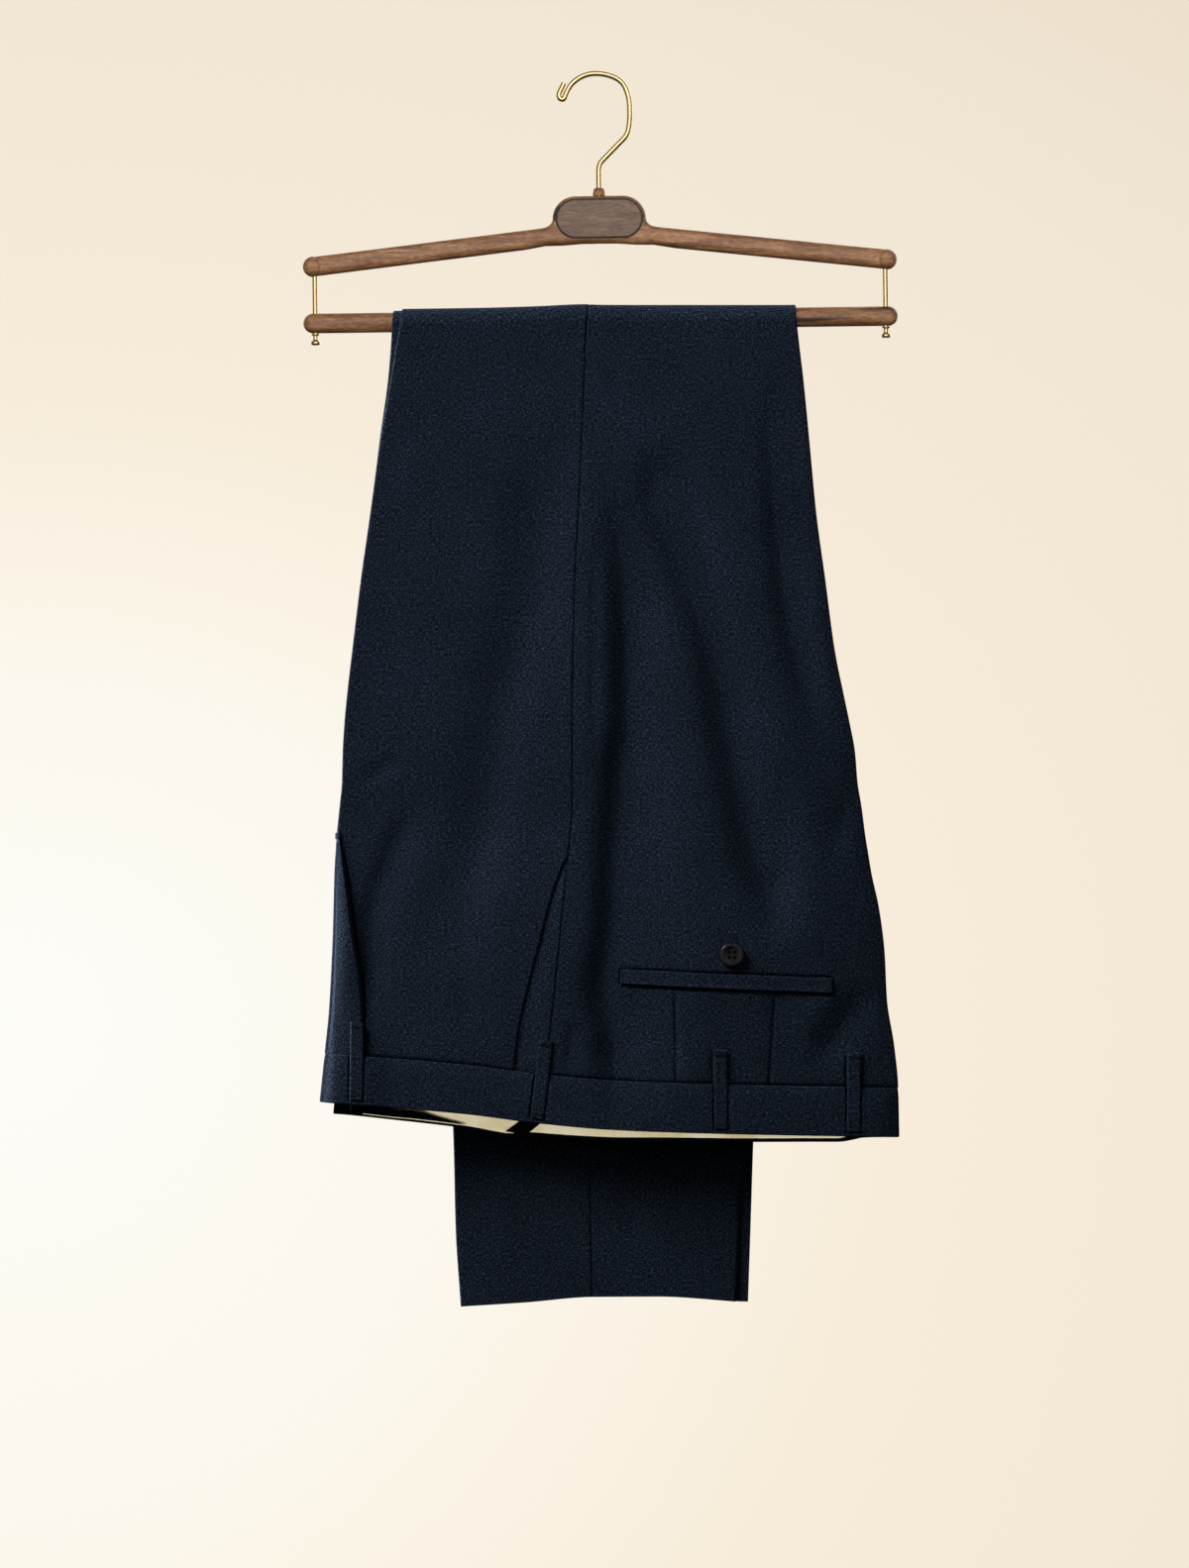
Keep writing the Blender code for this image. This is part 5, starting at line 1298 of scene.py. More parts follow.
def make_stitches(name, side):
    """The stitches of one half as one plain mesh."""
    cut = bpy.context.scene.trousers_cut
    tree, sockets = stitch_tree(material_of("thread"))
    guide = new_object("stitch_guide", stitch_guide(side))
    sewing = guide.modifiers.new("stitches", "NODES")
    sewing.node_group = tree
    sewing[sockets["Thread"]] = cut.thread * MM
    sewing[sockets["Seed"]] = 7 + side
    return new_object(name, tidy_mesh(evaluated_mesh(guide)))


# ---------------- hanger
def hanger_tilt():
    """The whole hanger's small turn about its hook."""
    return Matrix.Rotation(-TILT, 4, "Y")


def arc(cx, cz, radius, first, last, count):
    """Points of an arc, angles in degrees."""
    angle = np.radians(np.linspace(first, last, count + 1))
    return list(zip(cx + radius * np.cos(angle), cz + radius * np.sin(angle)))


def arm_outline():
    """The right half of the arm and yoke from the top centre to the bottom centre."""
    border = INLAY_RADIUS + YOKE_BORDER
    arm_z = lambda x: ARM_LEVEL - x * math.tan(ARM_SLOPE)
    flare = [(31.4, -96.2), (32.3, -97.8), (33.8, -99.1), (35.9, -100.0), (38.6, -100.6), (42.0, -101.0)]
    points = [(0.0, YOKE_LEVEL + border)]
    points += arc(YOKE_STRAIGHT, YOKE_LEVEL, border, 90, 0, 20)
    points += flare + [(50.0, arm_z(50.0) + ARM_RADIUS)]
    points += [(x, arm_z(x) + ARM_RADIUS) for x in (80.0, 120.0, 160.0)]
    points += arc(ARM_HALF, arm_z(ARM_HALF), ARM_RADIUS, 84, -96, 16)
    points += [(x, arm_z(x) - ARM_RADIUS) for x in (160.0, 120.0, 80.0, 50.0)]
    points += [(36.0, -112.5), (24.0, YOKE_UNDER - 1.0), (12.0, YOKE_UNDER - 0.1), (0.0, YOKE_UNDER)]
    return points


def flat_outline(name, points, half, edge, resolution):
    """A flat closed outline in X and Z as a mesh, with rounded edges."""
    mesh = curve_mesh(name, [(x, z, 0.0) for x, z in points], True, dimensions="2D", fill_mode="BOTH",
                      extrude=(half - edge) * MM, bevel_depth=edge * MM, bevel_resolution=resolution,
                      offset=-edge * MM)
    mesh.transform(Matrix.Rotation(math.pi / 2, 4, "X"))
    return tidy_mesh(mesh)


def stadium(radius):
    """The outline of an oval with straight sides, round the yoke's middle."""
    return (arc(YOKE_STRAIGHT, YOKE_LEVEL, radius, 90, -90, 36)
            + arc(-YOKE_STRAIGHT, YOKE_LEVEL, radius, 270, 90, 36))


def make_arm():
    """The upper arm with its yoke, recessed for the inlay."""
    right = arm_outline()
    left = [(-x, z) for x, z in reversed(right[1:-1])]
    arm = new_object("arm_walnut", flat_outline("arm", right + left, ARM_THICK / 2, ARM_EDGE, 8))
    recess = new_object("recess", flat_outline("recess", stadium(INLAY_RADIUS), RECESS_HALF, 0.0, 0))
    recess.location.y = (-ARM_THICK / 2 + INLAY_DEPTH - RECESS_HALF) * MM
    mesh = cut_away(arm, [recess])
    points = mesh_points(mesh)
    points[:, 1] *= 1 - ARM_THIN * ease((np.abs(points[:, 0]) / MM - ARM_THIN_FROM) / ARM_THIN_OVER)
    mesh.vertices.foreach_set("co", points.ravel())
    tidy_mesh(mesh, ARM_ANGLE)
    ball = [(BALL_RADIUS * math.sin(a), BALL_RADIUS * math.cos(a)) for a in np.linspace(0.0, math.pi, 25)]
    level = ARM_LEVEL - ARM_HALF * math.tan(ARM_SLOPE)
    balls = [turned(ball, 40, Matrix.Translation((x * MM, 0.0, level * MM))) for x in (-ARM_HALF, ARM_HALF)]
    piece = joined("arm_walnut", [mesh, *balls])
    piece.data.transform(hanger_tilt())
    return piece


def make_inlay():
    """A blank oval inlay, a hair below the yoke's face."""
    half = INLAY_DEPTH / 2 - INLAY_SUNK
    mesh = flat_outline("inlay", stadium(INLAY_RADIUS - INLAY_GROOVE), half, INLAY_EDGE, 3)
    unwrap(mesh, "face", mesh_points(mesh)[:, [0, 2]] - (0.0, YOKE_LEVEL * MM))
    mesh.transform(Matrix.Translation((0.0, (-ARM_THICK / 2 + half) * MM, 0.0)))
    mesh.transform(hanger_tilt())
    return new_object("inlay_walnut", mesh)


def make_bar():
    """The lower bar: a round bar with round ends, lying along X."""
    angle = np.linspace(0.0, math.pi / 2, 11)
    quarter = list(zip(BAR_RADIUS * np.sin(angle), BAR_HALF - BAR_RADIUS + BAR_RADIUS * np.cos(angle)))
    middle = [(BAR_RADIUS, h) for h in np.linspace(quarter[-1][1], -quarter[-1][1], 25)[1:-1]]
    profile = quarter + middle + [(radius, -height) for radius, height in reversed(quarter)]
    place = Matrix.Translation((0.0, 0.0, BAR_LEVEL * MM)) @ Matrix.Rotation(math.pi / 2, 4, "Y")
    return new_object("bar_walnut", turned(profile, 48, hanger_tilt() @ place))


def make_rod(word, x):
    """A brass rod with its collar and knob under the bar."""
    under = BAR_LEVEL - BAR_RADIUS - GAP
    collar = [(ROD_RADIUS, under), (2.5, under), (2.7, under - 0.25), (2.7, under - 0.7), (2.5, under - 0.95)]
    neck = [(1.7, under - 1.3), (1.6, under - 2.0), (1.6, under - 4.0), (2.0, under - 4.5)]
    knob = [(2.7, under - 5.0), (3.05, under - 5.7), (3.1, under - 6.5), (2.8, under - 7.2),
            (2.1, under - 7.6), (0.0, under - 7.7)]
    top = ARM_LEVEL - ROD_SPAN * math.tan(ARM_SLOPE) - 1.0
    shaft = [(0.0, top), (ROD_RADIUS, top)]
    place = hanger_tilt() @ Matrix.Translation((x * MM, 0.0, 0.0))
    return new_object("rod_brass_" + word, turned(shaft + collar + neck + knob, 32, place))


def make_ferrule():
    """The domed collar between the yoke and the hook's stem."""
    low = YOKE_LEVEL + INLAY_RADIUS + YOKE_BORDER + GAP
    bore = WIRE_RADIUS + 0.1
    dome = [(bore, low + 5.0), (2.4, low + 5.0), (3.0, low + 4.7), (3.5, low + 4.0), (3.85, low + 2.8),
            (4.1, low + 1.2), (4.2, low), (bore, low), (bore, low + 5.0)]
    return new_object("ferrule_walnut", turned(dome, 40, hanger_tilt()))


def hook_path():
    """Centre line of the hook's wire, from its foot in the yoke to its doubled tip."""
    foot = YOKE_LEVEL + INLAY_RADIUS + YOKE_BORDER - 3.0
    stem = [(0.0, foot), (0.0, foot + 8.0), (0.0, -68.0), (0.1, -61.8), (1.3, -57.6), (4.2, -54.3)]
    bend = [(14.4, -44.0), (17.6, -40.8), (19.7, -37.0), (20.8, -31.5), (21.2, -24.2)]
    bow = [(20.5, -14.0), (16.9, -4.9), (9.7, 0.1), (-0.3, 2.15), (-8.8, 0.9), (-15.4, -3.0)]
    tip = [(-18.8, -6.8), (-20.7, -10.4), (-21.6, -12.4), (-22.3, -14.1), (-23.7, -14.8), (-25.1, -14.1),
           (-25.8, -12.5), (-25.4, -10.4), (-23.9, -7.3), (-22.3, -4.0)]
    return stem + bend + bow + tip


def make_hook():
    """The brass hook, bent from one wire and doubled back at its tip."""
    path = smooth_path(tuple(hook_path()), WIRE_STEP)[0]
    mesh = curve_mesh("hook", [(x, 0.0, z) for x, z in path], dimensions="3D",
                      bevel_depth=WIRE_RADIUS * MM, bevel_resolution=6, use_fill_caps=True)
    mesh.transform(hanger_tilt())
    return new_object("hook_brass", tidy_mesh(mesh))


# ---------------- materials
def linear(hex_colour):
    """An sRGB hex colour as linear RGBA."""
    channels = [int(hex_colour[i:i + 2], 16) / 255 for i in (1, 3, 5)]
    return tuple(c / 12.92 if c <= 0.04045 else ((c + 0.055) / 1.055) ** 2.4 for c in channels) + (1.0,)


def node(tree, kind, inputs=None, **settings):
    """Adds a node with its settings. An input is set to a value or linked to a socket."""
    made = tree.nodes.new(kind)
    for name, value in settings.items():
        setattr(made, name, value)
    for key, value in (inputs or {}).items():
        if isinstance(value, bpy.types.NodeSocket):
            tree.links.new(value, made.inputs[key])
        else:
            made.inputs[key].default_value = value
    return made


def new_material(name, **shader_inputs):
    """A material with a Principled BSDF, and its tree and shader."""
    material = bpy.data.materials.new(name)
    material.use_nodes = True
    tree = material.node_tree
    shader = tree.nodes["Principled BSDF"]
    for key, value in shader_inputs.items():
        shader.inputs[key.replace("_", " ")].default_value = value
    return material, tree, shader


def coordinates(tree, space):
    """Texture coordinates in metres: the UV map of a cloth, or the place in an object."""
    return node(tree, "ShaderNodeTexCoord").outputs[space]


def mapped(tree, at, scale, **more):
    """Coordinates scaled, and turned or moved where that is given."""
    return node(tree, "ShaderNodeMapping", {"Vector": at, "Scale": scale, **more}).outputs[0]


def noise(tree, at, scale=1.0, detail=2.0, rough=0.5, distortion=0.0):
    """Soft noise between 0 and 1."""
    inputs = {"Vector": at, "Scale": scale, "Detail": detail, "Roughness": rough, "Distortion": distortion}
    return node(tree, "ShaderNodeTexNoise", inputs).outputs[0]


def ribbed(tree, at, scale, direction, **more):
    """Straight ribs between 0 and 1, 314 mm apart over their scale."""
    inputs = {"Vector": at, "Scale": scale, **more}
    return node(tree, "ShaderNodeTexWave", inputs, bands_direction=direction).outputs[0]


def maths(tree, operation, *values):
    """A sum, product or other operation on values."""
    return node(tree, "ShaderNodeMath", dict(enumerate(values)), operation=operation).outputs[0]


def ranged(tree, value, low, high, first=0.0, last=1.0, clamp=True):
    """A value that goes from first to last, taken to low to high."""
    return node(tree, "ShaderNodeMapRange", {"Value": value, "From Min": first, "From Max": last,
                                             "To Min": low, "To Max": high}, clamp=clamp).outputs[0]


def ramp(tree, source, stops):
    """Colours along a value: stops are (place, colour) pairs."""
    made = node(tree, "ShaderNodeValToRGB", {"Fac": source})
    elements = made.color_ramp.elements
    while len(elements) < len(stops):
        elements.new(0.5)
    for element, (place, colour) in zip(elements, stops):
        element.position = place
        element.color = colour
    return made.outputs["Color"]


def shaded(tree, colour, value):
    """A colour made darker or paler by a value."""
    return node(tree, "ShaderNodeVectorMath", {0: colour, "Scale": value}, operation="SCALE").outputs[0]


def length_of(tree, vector):
    """The length of a vector."""
    return node(tree, "ShaderNodeVectorMath", {0: vector}, operation="LENGTH").outputs["Value"]


def paint(tree, shader, colour):
    """Gives a shader its colour."""
    tree.links.new(colour, shader.inputs["Base Color"])


def emboss(tree, shader, height, strength, distance):
    """Gives a shader a fine relief that is as high as a distance in metres."""
    bump = node(tree, "ShaderNodeBump", {"Height": height, "Strength": strength, "Distance": distance})
    tree.links.new(bump.outputs[0], shader.inputs["Normal"])


def flannel():
    """Melange wool flannel, milled and brushed: a matt face of blended dark and pale fibres,
    with no clear weave and a soft sheen where it turns away."""
    colours = bpy.context.scene.trousers_colours
    material, tree, shader = new_material("wool_flannel", Roughness=0.95, Specular_IOR_Level=0.05,
                                          Sheen_Weight=0.16, Sheen_Roughness=0.45,
                                          Sheen_Tint=linear("#8FA6C4"))
    uv = coordinates(tree, "UV")
    # Fibres are 0.02 mm thick. They are drawn as tufts 1 mm wide and 2 mm long, so that they show.
    down = noise(tree, mapped(tree, uv, (1150.0, 520.0, 1.0)), detail=3.0, rough=0.65)
    across = noise(tree, mapped(tree, uv, (480.0, 1250.0, 1.0)), detail=3.0, rough=0.65)
    tufts = maths(tree, "MULTIPLY", maths(tree, "ADD", down, across), 0.5)
    blend = ramp(tree, tufts, ((0.39, colours.flannel_dark), (0.50, colours.flannel),
                               (0.61, colours.flannel_pale)))
    patches = ranged(tree, noise(tree, uv, 16.0), 0.88, 1.12, 0.3, 0.7)
    paint(tree, shader, shaded(tree, blend, patches))
    emboss(tree, shader, tufts, 0.55, 0.0005)
    return material


def lining_twill():
    """Cotton twill for waistbands: fine slanting ribs, a little creased and yellowed."""
    colours = bpy.context.scene.trousers_colours
    material, tree, shader = new_material("cotton_twill", Roughness=0.85, Sheen_Weight=0.05)
    uv = coordinates(tree, "UV")
    # A real twill has 2 ribs a millimetre. These are 2 mm apart, so that they show.
    slant = mapped(tree, uv, (1.0, 1.0, 1.0), Rotation=(0.0, 0.0, math.radians(45)))
    ribs = ribbed(tree, slant, 160.0, "X", Distortion=0.6, Detail=1.0)
    stains = noise(tree, uv, 26.0, 4.0, 0.6)
    tone = ramp(tree, stains, ((0.38, colours.lining_shade), (0.56, colours.lining)))
    paint(tree, shader, shaded(tree, tone, ranged(tree, ribs, 0.93, 1.0)))
    emboss(tree, shader, ribs, 0.3, 0.0003)
    return material


def ribbon_tape():
    """Black viscose tape: fine cross ribs and a faint lustre."""
    material, tree, shader = new_material("viscose_tape", Roughness=0.8, Specular_IOR_Level=0.1)
    ribs = ribbed(tree, coordinates(tree, "UV"), 180.0, "Y")
    paint(tree, shader, ramp(tree, ribs, ((0.2, linear("#050506")), (0.8, linear("#0D0D0F")))))
    emboss(tree, shader, ribs, 0.4, 0.0002)
    return material


def thread():
    """Spun sewing thread: matt and nearly black, with a slight twist in its tone."""
    material, tree, shader = new_material("spun_thread", Roughness=0.75, Specular_IOR_Level=0.2)
    twist = noise(tree, coordinates(tree, "Object"), 2200.0)
    paint(tree, shader, shaded(tree, linear("#05080D")[:3], ranged(tree, twist, 0.7, 1.25)))
    return material


def horn():
    """Polished dark horn: streaks of grey under a gloss."""
    material, tree, shader = new_material("buffalo_horn", Roughness=0.28, IOR=1.5, Specular_IOR_Level=0.22)
    streaks = noise(tree, mapped(tree, coordinates(tree, "Object"), (260.0, 260.0, 70.0)), detail=4.0)
    paint(tree, shader, ramp(tree, streaks, ((0.35, linear("#0B0E12")), (0.7, linear("#22272E")))))
    return material


def mixed(tree, share, one, other):
    """A share of another colour mixed into one."""
    return node(tree, "ShaderNodeMixRGB", {"Fac": share, "Color1": one, "Color2": other}).outputs[0]


def dark_edge_line(tree, colour):
    """An oval's colour, nearly black along its edge. Its UV map is in metres from the oval's middle."""
    split = node(tree, "ShaderNodeSeparateXYZ", {0: node(tree, "ShaderNodeUVMap", uv_map="face").outputs[0]})
    past = maths(tree, "SUBTRACT", maths(tree, "ABSOLUTE", split.outputs["X"]), YOKE_STRAIGHT * MM)
    past = maths(tree, "MAXIMUM", past, 0.0)
    away = node(tree, "ShaderNodeCombineXYZ", {"X": past, "Y": split.outputs["Y"]})
    # A nearly black line is painted 1 mm wide just inside the oval's edge, beside the groove round the inlay.
    line = (INLAY_RADIUS - INLAY_GROOVE - INLAY_LINE) * MM
    blur = 0.2 * MM
    edge = ranged(tree, length_of(tree, away.outputs[0]), 0.0, 1.0, line - blur, line + blur)
    return mixed(tree, edge, colour, linear("#1D1410"))


def walnut(name, tone, lift=0.0, edged=False):
    """Walnut, sanded and lacquered thin: brown with dark streaks and fine open pores along the grain."""
    look = bpy.context.scene.hanger_look
    material, tree, shader = new_material(name, Roughness=0.55, IOR=1.45, Coat_Weight=0.08,
                                          Coat_Roughness=0.3)
    place = coordinates(tree, "Object")
    rings = noise(tree, mapped(tree, place, (26.0, 250.0, 250.0)), 1.0, 5.0, 0.6, 0.5)
    tones = [getattr(look, tone + end) for end in ("_dark", "", "_pale")]
    grain = ramp(tree, rings, list(zip((0.30, 0.48, 0.72), tones)))
    along = mapped(tree, place, (7.0, 60.0, 95.0), Location=(0.31 + lift, 0.0, 0.0))
    dark = ranged(tree, noise(tree, along, detail=3.0), 0.0, 1.0, 0.57, 0.64)
    streaked = mixed(tree, dark, grain, look.wood_streak)
    pores = noise(tree, mapped(tree, place, (240.0, 900.0, 900.0)))
    colour = shaded(tree, streaked, ranged(tree, pores, 0.7, 1.24, 0.35, 0.65))
    paint(tree, shader, dark_edge_line(tree, colour) if edged else colour)
    emboss(tree, shader, pores, 0.25, 0.0002)
    return material


def brass():
    """Polished pale brass: a clear yellow metal with faint drawing lines."""
    look = bpy.context.scene.hanger_look
    material, tree, shader = new_material("polished_brass", Metallic=1.0)
    place = coordinates(tree, "Object")
    rough = ranged(tree, noise(tree, place, 420.0, 3.0), 0.22, 0.34)
    tree.links.new(rough, shader.inputs["Roughness"])
    tarnish = ranged(tree, noise(tree, place, 90.0, 3.0), 0.86, 1.06)
    paint(tree, shader, shaded(tree, look.brass[:3], tarnish))
    return material


def painted_floor():
    """Pale matt studio paint, slightly uneven."""
    material, tree, shader = new_material("studio_paint", Roughness=0.9)
    patches = noise(tree, coordinates(tree, "Object"), 1.5)
    colour = ramp(tree, patches, ((0.3, linear("#EFE4D3")), (0.7, linear("#F4EADB"))))
    paint(tree, shader, colour)
    # To the eye it is as pale as the backdrop, without lighting the object from below.
    tree.links.new(colour, shader.inputs["Emission Color"])
    seen = node(tree, "ShaderNodeLightPath").outputs["Is Camera Ray"]
    tree.links.new(maths(tree, "MULTIPLY", seen, FLOOR_GLOW), shader.inputs["Emission Strength"])
    return material


# ---------------- settings
def colour_setting(name, description, hex_colour):
    """A colour's setting, with its default in sRGB hex."""
    return FloatVectorProperty(name=name, description=description, default=linear(hex_colour),
                               subtype="COLOR", size=4, min=0.0, max=1.0)


def power_setting(name, description, watts):
    """A lamp's setting."""
    return FloatProperty(name=name, description=description, default=watts, unit="POWER", min=0.0)


class TrousersCut(bpy.types.PropertyGroup):
    """How finely the cloth is made and how strongly it is creased."""
    grid: FloatProperty(name="Grid", description="Height of a cloth face, in millimetres", default=3.0,
                        min=1.5, max=12.0)
    folds: FloatProperty(name="Folds", description="Strength of the soft creases", default=1.25,
                         min=0.0, max=2.0)
    thread: FloatProperty(name="Thread", description="Thickness of the sewing thread, in millimetres",
                          default=0.5, min=0.1, max=1.0)


class TrousersColours(bpy.types.PropertyGroup):
    """Colours of the cloths."""
    flannel: colour_setting("Flannel", "Main tone of the flannel", "#161E2C")
    flannel_dark: colour_setting("Dark fibres", "Darkest fibres of the blend", "#05080E")
    flannel_pale: colour_setting("Pale fibres", "Palest fibres of the blend", "#38475A")
    lining: colour_setting("Lining", "Waistband lining", "#EAE3C8")
    lining_shade: colour_setting("Lining shade", "Yellowed parts of the lining", "#D6CA9E")


class HangerLook(bpy.types.PropertyGroup):
    """Colours of the hanger."""
    wood: colour_setting("Wood", "Main tone of the walnut", "#8C6040")
    wood_dark: colour_setting("Dark grain", "Dark bands of the grain", "#684630")
    wood_pale: colour_setting("Pale grain", "Pale bands of the grain", "#B48860")
    wood_streak: colour_setting("Streaks", "Nearly black streaks", "#3B2A22")
    inlay: colour_setting("Inlay", "Main tone of the stained inlay", "#6E5547")
    inlay_dark: colour_setting("Inlay, dark grain", "Dark bands of the inlay", "#5C4538")
    inlay_pale: colour_setting("Inlay, pale grain", "Pale bands of the inlay", "#806556")
    brass: colour_setting("Brass", "Tone of the brass", "#BFA87B")


class StudioLook(bpy.types.PropertyGroup):
    """Lights and surround."""
    key_power: power_setting("Key light", "Power of the soft light at the left", 44.5)
    fill_power: power_setting("Fill light", "Power of the soft light at the right", 1.0)
    rim_power: power_setting("Rim light", "Power of the light that skims the left edges", 36.0)
    rear_power: power_setting("Rear lights", "Power of each light behind", 4.0)
    hanger_power: power_setting("Hanger light", "Power of the wide light on the hanger", 48.0)
    spark_power: power_setting("Hanger spark", "Power of the small light that the hanger mirrors", 2.5)
    lining_power: power_setting("Lining light", "Power of the light on the lining alone", 20.0)
    surround: FloatProperty(name="Surround", description="Strength of the light from all round",
                            default=0.012, min=0.0)
    mirrored: FloatProperty(name="Mirrored", description="Strength of the surround in polished metal",
                            default=0.7, min=0.0)
    pale: colour_setting("Pale side", "Backdrop where it is lightest", "#FDFCF8")
    shade: colour_setting("Shaded side", "Backdrop where it falls off", "#ECDFCC")


MAKERS = {"flannel": flannel, "lining": lining_twill, "ribbon": ribbon_tape, "thread": thread, "horn": horn,
          "walnut": partial(walnut, "lacquered_walnut", "wood"),
          "inlay": partial(walnut, "stained_walnut", "inlay", 0.2, True), "brass": brass}


@lru_cache(maxsize=None)
def material_of(name):
    """Each material is made once."""
    return MAKERS[name]()


# ---------------- operators
class SewLegs(bpy.types.Operator):
    """Makes the two fronts and two backs, each one sheet from waist seam to hem."""
    bl_idname = "trousers.sew_legs"
    bl_label = "Fronts and backs"

    def execute(self, context):
        for word, side in HALVES:
            for part, is_front in (("front", True), ("back", False)):
                piece = make_panel("%s_cloth_%s" % (part, word), side, is_front)
                settled(piece, "flannel", "%s_%s" % (part, word), rests_on=["lower_bar"])
        return {"FINISHED"}


class SewWaist(bpy.types.Operator):
    """Makes the waistbands, their linings, the extension and the hanging ribbon."""
    bl_idname = "trousers.sew_waist"
    bl_label = "Waistband"

    def execute(self, context):
        for word, side in HALVES:
            band = make_waistband("band_cloth_" + word, side)
            settled(band, "flannel", "waistband_" + word, rests_on=["front_" + word, "back_" + word])
            lining = make_lining("lining_cloth_" + word, side)
            settled(lining, "lining", "waist_lining_" + word, rests_on=["waistband_" + word])
        settled(make_extension(), "flannel", "waistband_extension", rests_on=["waist_lining_far"])
        settled(make_hanging_loop(), "ribbon", "hanging_loop", rests_on=["waist_lining_far"])
        return {"FINISHED"}


class SewPockets(bpy.types.Operator):
    """Makes the pocket facings, the hip welts and their buttons."""
    bl_idname = "trousers.sew_pockets"
    bl_label = "Pockets"

    def execute(self, context):
        for word, side in HALVES:
            facing = make_facing("facing_cloth_" + word, side)
            settled(facing, "flannel", "pocket_facing_" + word, rests_on=["back_" + word])
            welt = make_welt("welt_cloth_" + word, side)
            settled(welt, "flannel", "hip_welt_" + word, rests_on=["back_" + word])
            settled(make_button("button_horn_" + word, side), "horn", "hip_button_" + word)
        return {"FINISHED"}


class SewBeltLoops(bpy.types.Operator):
    """Makes the eight belt loops."""
    bl_idname = "trousers.sew_belt_loops"
    bl_label = "Belt loops"

    def execute(self, context):
        for word, side in HALVES:
            for number, loop in enumerate(BELT_LOOPS, 1):
                piece = make_belt_loop("loop_tape_%s_%d" % (word, number), side, loop)
                settled(piece, "flannel", "belt_loop_%s_%d" % (word, number), rests_on=["waistband_" + word])
        return {"FINISHED"}


class SewStitches(bpy.types.Operator):
    """Makes the stitches that show: tacks of the belt loops and welts, and the buttonholes."""
    bl_idname = "trousers.sew_stitches"
    bl_label = "Stitches"

    def execute(self, context):
        for word, side in HALVES:
            settled(make_stitches("stitches_thread_" + word, side), "flannel", look="thread")
        return {"FINISHED"}


class TurnHanger(bpy.types.Operator):
    """Makes the walnut arm, inlay, bar and ferrule and the brass hook and rods."""
    bl_idname = "trousers.turn_hanger"
    bl_label = "Hanger"

    def execute(self, context):
        settled(make_arm(), "walnut", "upper_arm")
        settled(make_inlay(), "inlay", "yoke_inlay")
        settled(make_bar(), "walnut", "lower_bar")
        settled(make_ferrule(), "walnut", "ferrule")
        settled(make_hook(), "brass", "hook")
        settled(make_rod("left", -ROD_SPAN), "brass", "rod_left")
        settled(make_rod("right", ROD_SPAN), "brass", "rod_right")
        return {"FINISHED"}


# ---------------- stage
PIXEL = 0.66                    # millimetres a pixel at the cloth
FRAME_HIGH = 1583 * PIXEL * MM
CAMERA_AT = (-0.00198, -5.0, -0.4713)   # in metres, as are the places and sizes below
SENSOR = 36.0
FAR_SIGHT = 60.0
FLOOR_LEVEL = -2.2
FLOOR_RADIUS = 4.0
FLOOR_GLOW = 0.82
ROOM_MIDDLE = (0.0, -0.01, -0.47)

WARM = (1.0, 0.975, 0.94)
WHITE = (1.0, 1.0, 1.0)
SOFT = ("flannel", "ribbon", "horn")
HARD = ("walnut", "inlay", "brass")
# Soft rectangular lamps that look at the object. Azimuth 0 is in front, 90 at the right. A lamp
# lights the pieces of the slots in lit alone, or everything where it has none.
Lamp = namedtuple("Lamp", "name power azimuth elevation distance size lit colour beam",
                  defaults=((), WARM, 180))
LAMPS = (
    Lamp("key", "key_power", -62, 43, 4.2, (1.8, 1.8), SOFT, WARM, 75),
    Lamp("rim", "rim_power", -102, 8, 2.5, (0.5, 1.2), SOFT, WARM, 75),
    Lamp("fill", "fill_power", 30, 18, 1.2, (0.5, 0.6), SOFT, WHITE),
    Lamp("lining_light", "lining_power", -20, -40, 1.6, (0.8, 0.5), ("lining",)),
    Lamp("rear_left", "rear_power", -140, 25, 2.2, (1.2, 1.6)),
    Lamp("rear_right", "rear_power", 145, 25, 2.2, (1.2, 1.6)),
    Lamp("hanger_front", "hanger_power", -8, 26, 2.2, (2.2, 2.2), HARD),
    Lamp("hanger_rear", "hanger_power", 160, 26, 2.2, (2.2, 2.2), HARD),
    Lamp("hanger_spark", "spark_power", 35, 28, 1.6, (0.25, 0.25), HARD),
)


def hang_lamp(lamp, look):
    """Makes one lamp of the table."""
    light = bpy.data.lights.new(lamp.name, "AREA")
    light.shape = "RECTANGLE"
    light.size, light.size_y = lamp.size
    light.energy = getattr(look, lamp.power)
    light.spread = math.radians(lamp.beam)
    light.color = lamp.colour
    holder = new_object(lamp.name, light)
    a, e = math.radians(lamp.azimuth), math.radians(lamp.elevation)
    back = Vector((math.sin(a) * math.cos(e), -math.cos(a) * math.cos(e), math.sin(e)))
    holder.location = Vector(ROOM_MIDDLE) + back * lamp.distance
    holder.rotation_euler = (-back).to_track_quat("-Z", "Y").to_euler()
    if lamp.lit:
        group = bpy.data.collections.new(lamp.name)
        for slot in lamp.lit:
            for piece in PIECES[slot]:
                group.objects.link(piece)
        holder.light_linking.receiver_collection = group


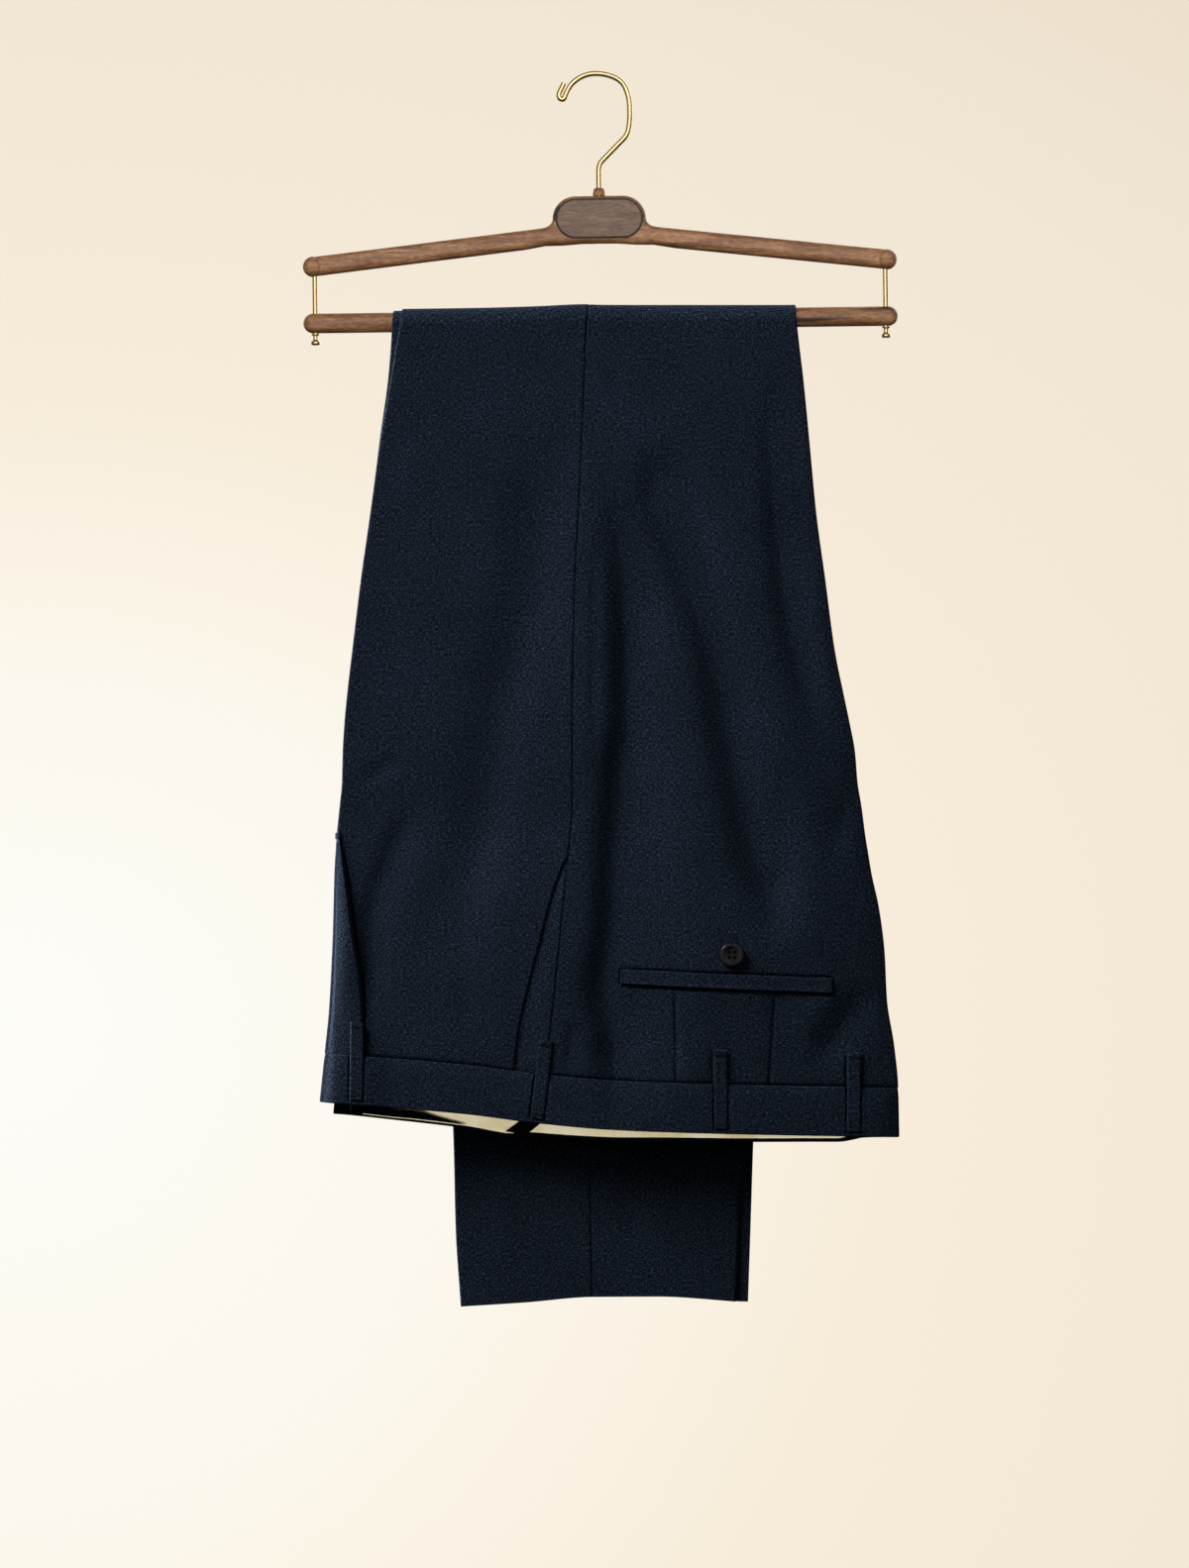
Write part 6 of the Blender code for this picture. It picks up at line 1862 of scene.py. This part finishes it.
def make_surround(look):
    """A pale surround, lightest at the left behind the object. As a light it is dimmer."""
    world = bpy.data.worlds.new("studio")
    bpy.context.scene.world = world
    world.use_nodes = True
    tree = world.node_tree
    tree.nodes.clear()
    split = node(tree, "ShaderNodeSeparateXYZ", {0: coordinates(tree, "Generated")})
    x, y, z = split.outputs
    across = ranged(tree, x, 0.0, 1.0, -0.078, 0.082, clamp=False)
    above = ranged(tree, z, 0.0, 1.0, -0.03, 0.08, clamp=False)
    below = ranged(tree, z, 0.0, 1.0, -0.03, -0.2, clamp=False)
    away = node(tree, "ShaderNodeCombineXYZ", {"X": across, "Y": maths(tree, "MAXIMUM", above, below)})
    fall = maths(tree, "MULTIPLY", length_of(tree, away.outputs[0]), 1 / 1.6)
    seen = ramp(tree, fall, ((0.0, look.pale), (0.26, linear("#FCF7EC")), (0.46, linear("#F7ECDA")),
                             (0.62, linear("#F4E8D7")), (0.80, linear("#F1E6D4")), (1.0, look.shade)))
    shown = node(tree, "ShaderNodeBackground", {"Color": seen, "Strength": 1.0})
    path = node(tree, "ShaderNodeLightPath")
    sides = ranged(tree, maths(tree, "ABSOLUTE", y), 0.4 * look.mirrored, look.mirrored, 0.2, 0.95)
    level = ranged(tree, maths(tree, "ABSOLUTE", z), 1.0, 0.4, 0.05, 0.6)
    gloss = maths(tree, "MULTIPLY", sides, level)
    strength = node(tree, "ShaderNodeMix", {0: path.outputs["Is Glossy Ray"], 2: look.surround, 3: gloss})
    lighting = node(tree, "ShaderNodeBackground", {"Color": look.shade, "Strength": strength.outputs[0]})
    both = node(tree, "ShaderNodeMixShader", {0: path.outputs["Is Camera Ray"], 1: lighting.outputs[0],
                                              2: shown.outputs[0]})
    node(tree, "ShaderNodeOutputWorld", {"Surface": both.outputs[0]})


class BuildStudio(bpy.types.Operator):
    """Makes the floor, surround, lights and camera."""
    bl_idname = "trousers.build_studio"
    bl_label = "Studio"

    def execute(self, context):
        look = context.scene.studio_look
        make_surround(look)
        for lamp in LAMPS:
            hang_lamp(lamp, look)
        work = bmesh.new()
        bmesh.ops.create_circle(work, cap_ends=True, segments=96, radius=FLOOR_RADIUS)
        work.transform(Matrix.Translation((0.0, 0.0, FLOOR_LEVEL)))
        floor = new_object("studio_floor", filled_mesh("studio_floor", work))
        dressed(floor, painted_floor())
        camera = bpy.data.cameras.new("camera")
        camera.sensor_width = SENSOR
        camera.lens = SENSOR * -CAMERA_AT[1] / FRAME_HIGH
        camera.clip_end = FAR_SIGHT
        holder = new_object("camera", camera)
        holder.location = CAMERA_AT
        holder.rotation_euler = (math.pi / 2, 0.0, 0.0)
        context.scene.camera = holder
        context.scene.view_settings.view_transform = "Standard"
        return {"FINISHED"}


class TrousersPanel(bpy.types.Panel):
    """Lists the settings and the steps in the 3D view's sidebar."""
    bl_idname = "TROUSERS_PT_make"
    bl_label = "Trousers on a hanger"
    bl_space_type = "VIEW_3D"
    bl_region_type = "UI"
    bl_category = "Trousers"

    def draw(self, context):
        for group in GROUPS:
            box = self.layout.box()
            settings = getattr(context.scene, group)
            for name in settings.__annotations__:
                box.prop(settings, name)
        for step in STEPS:
            self.layout.operator(step.bl_idname)


GROUPS = {"trousers_cut": TrousersCut, "trousers_colours": TrousersColours, "hanger_look": HangerLook,
          "studio_look": StudioLook}
STEPS = (SewLegs, SewWaist, SewPockets, SewBeltLoops, SewStitches, TurnHanger, BuildStudio)
CLASSES = (*GROUPS.values(), *STEPS, TrousersPanel)


def register():
    for cls in CLASSES:
        bpy.utils.register_class(cls)
    for name, group in GROUPS.items():
        setattr(bpy.types.Scene, name, PointerProperty(type=group))


def unregister():
    for name in GROUPS:
        delattr(bpy.types.Scene, name)
    for cls in reversed(CLASSES):
        bpy.utils.unregister_class(cls)


def main():
    register()
    for step in STEPS:
        category, name = step.bl_idname.split(".")
        getattr(getattr(bpy.ops, category), name)()


if __name__ == "__main__":
    main()
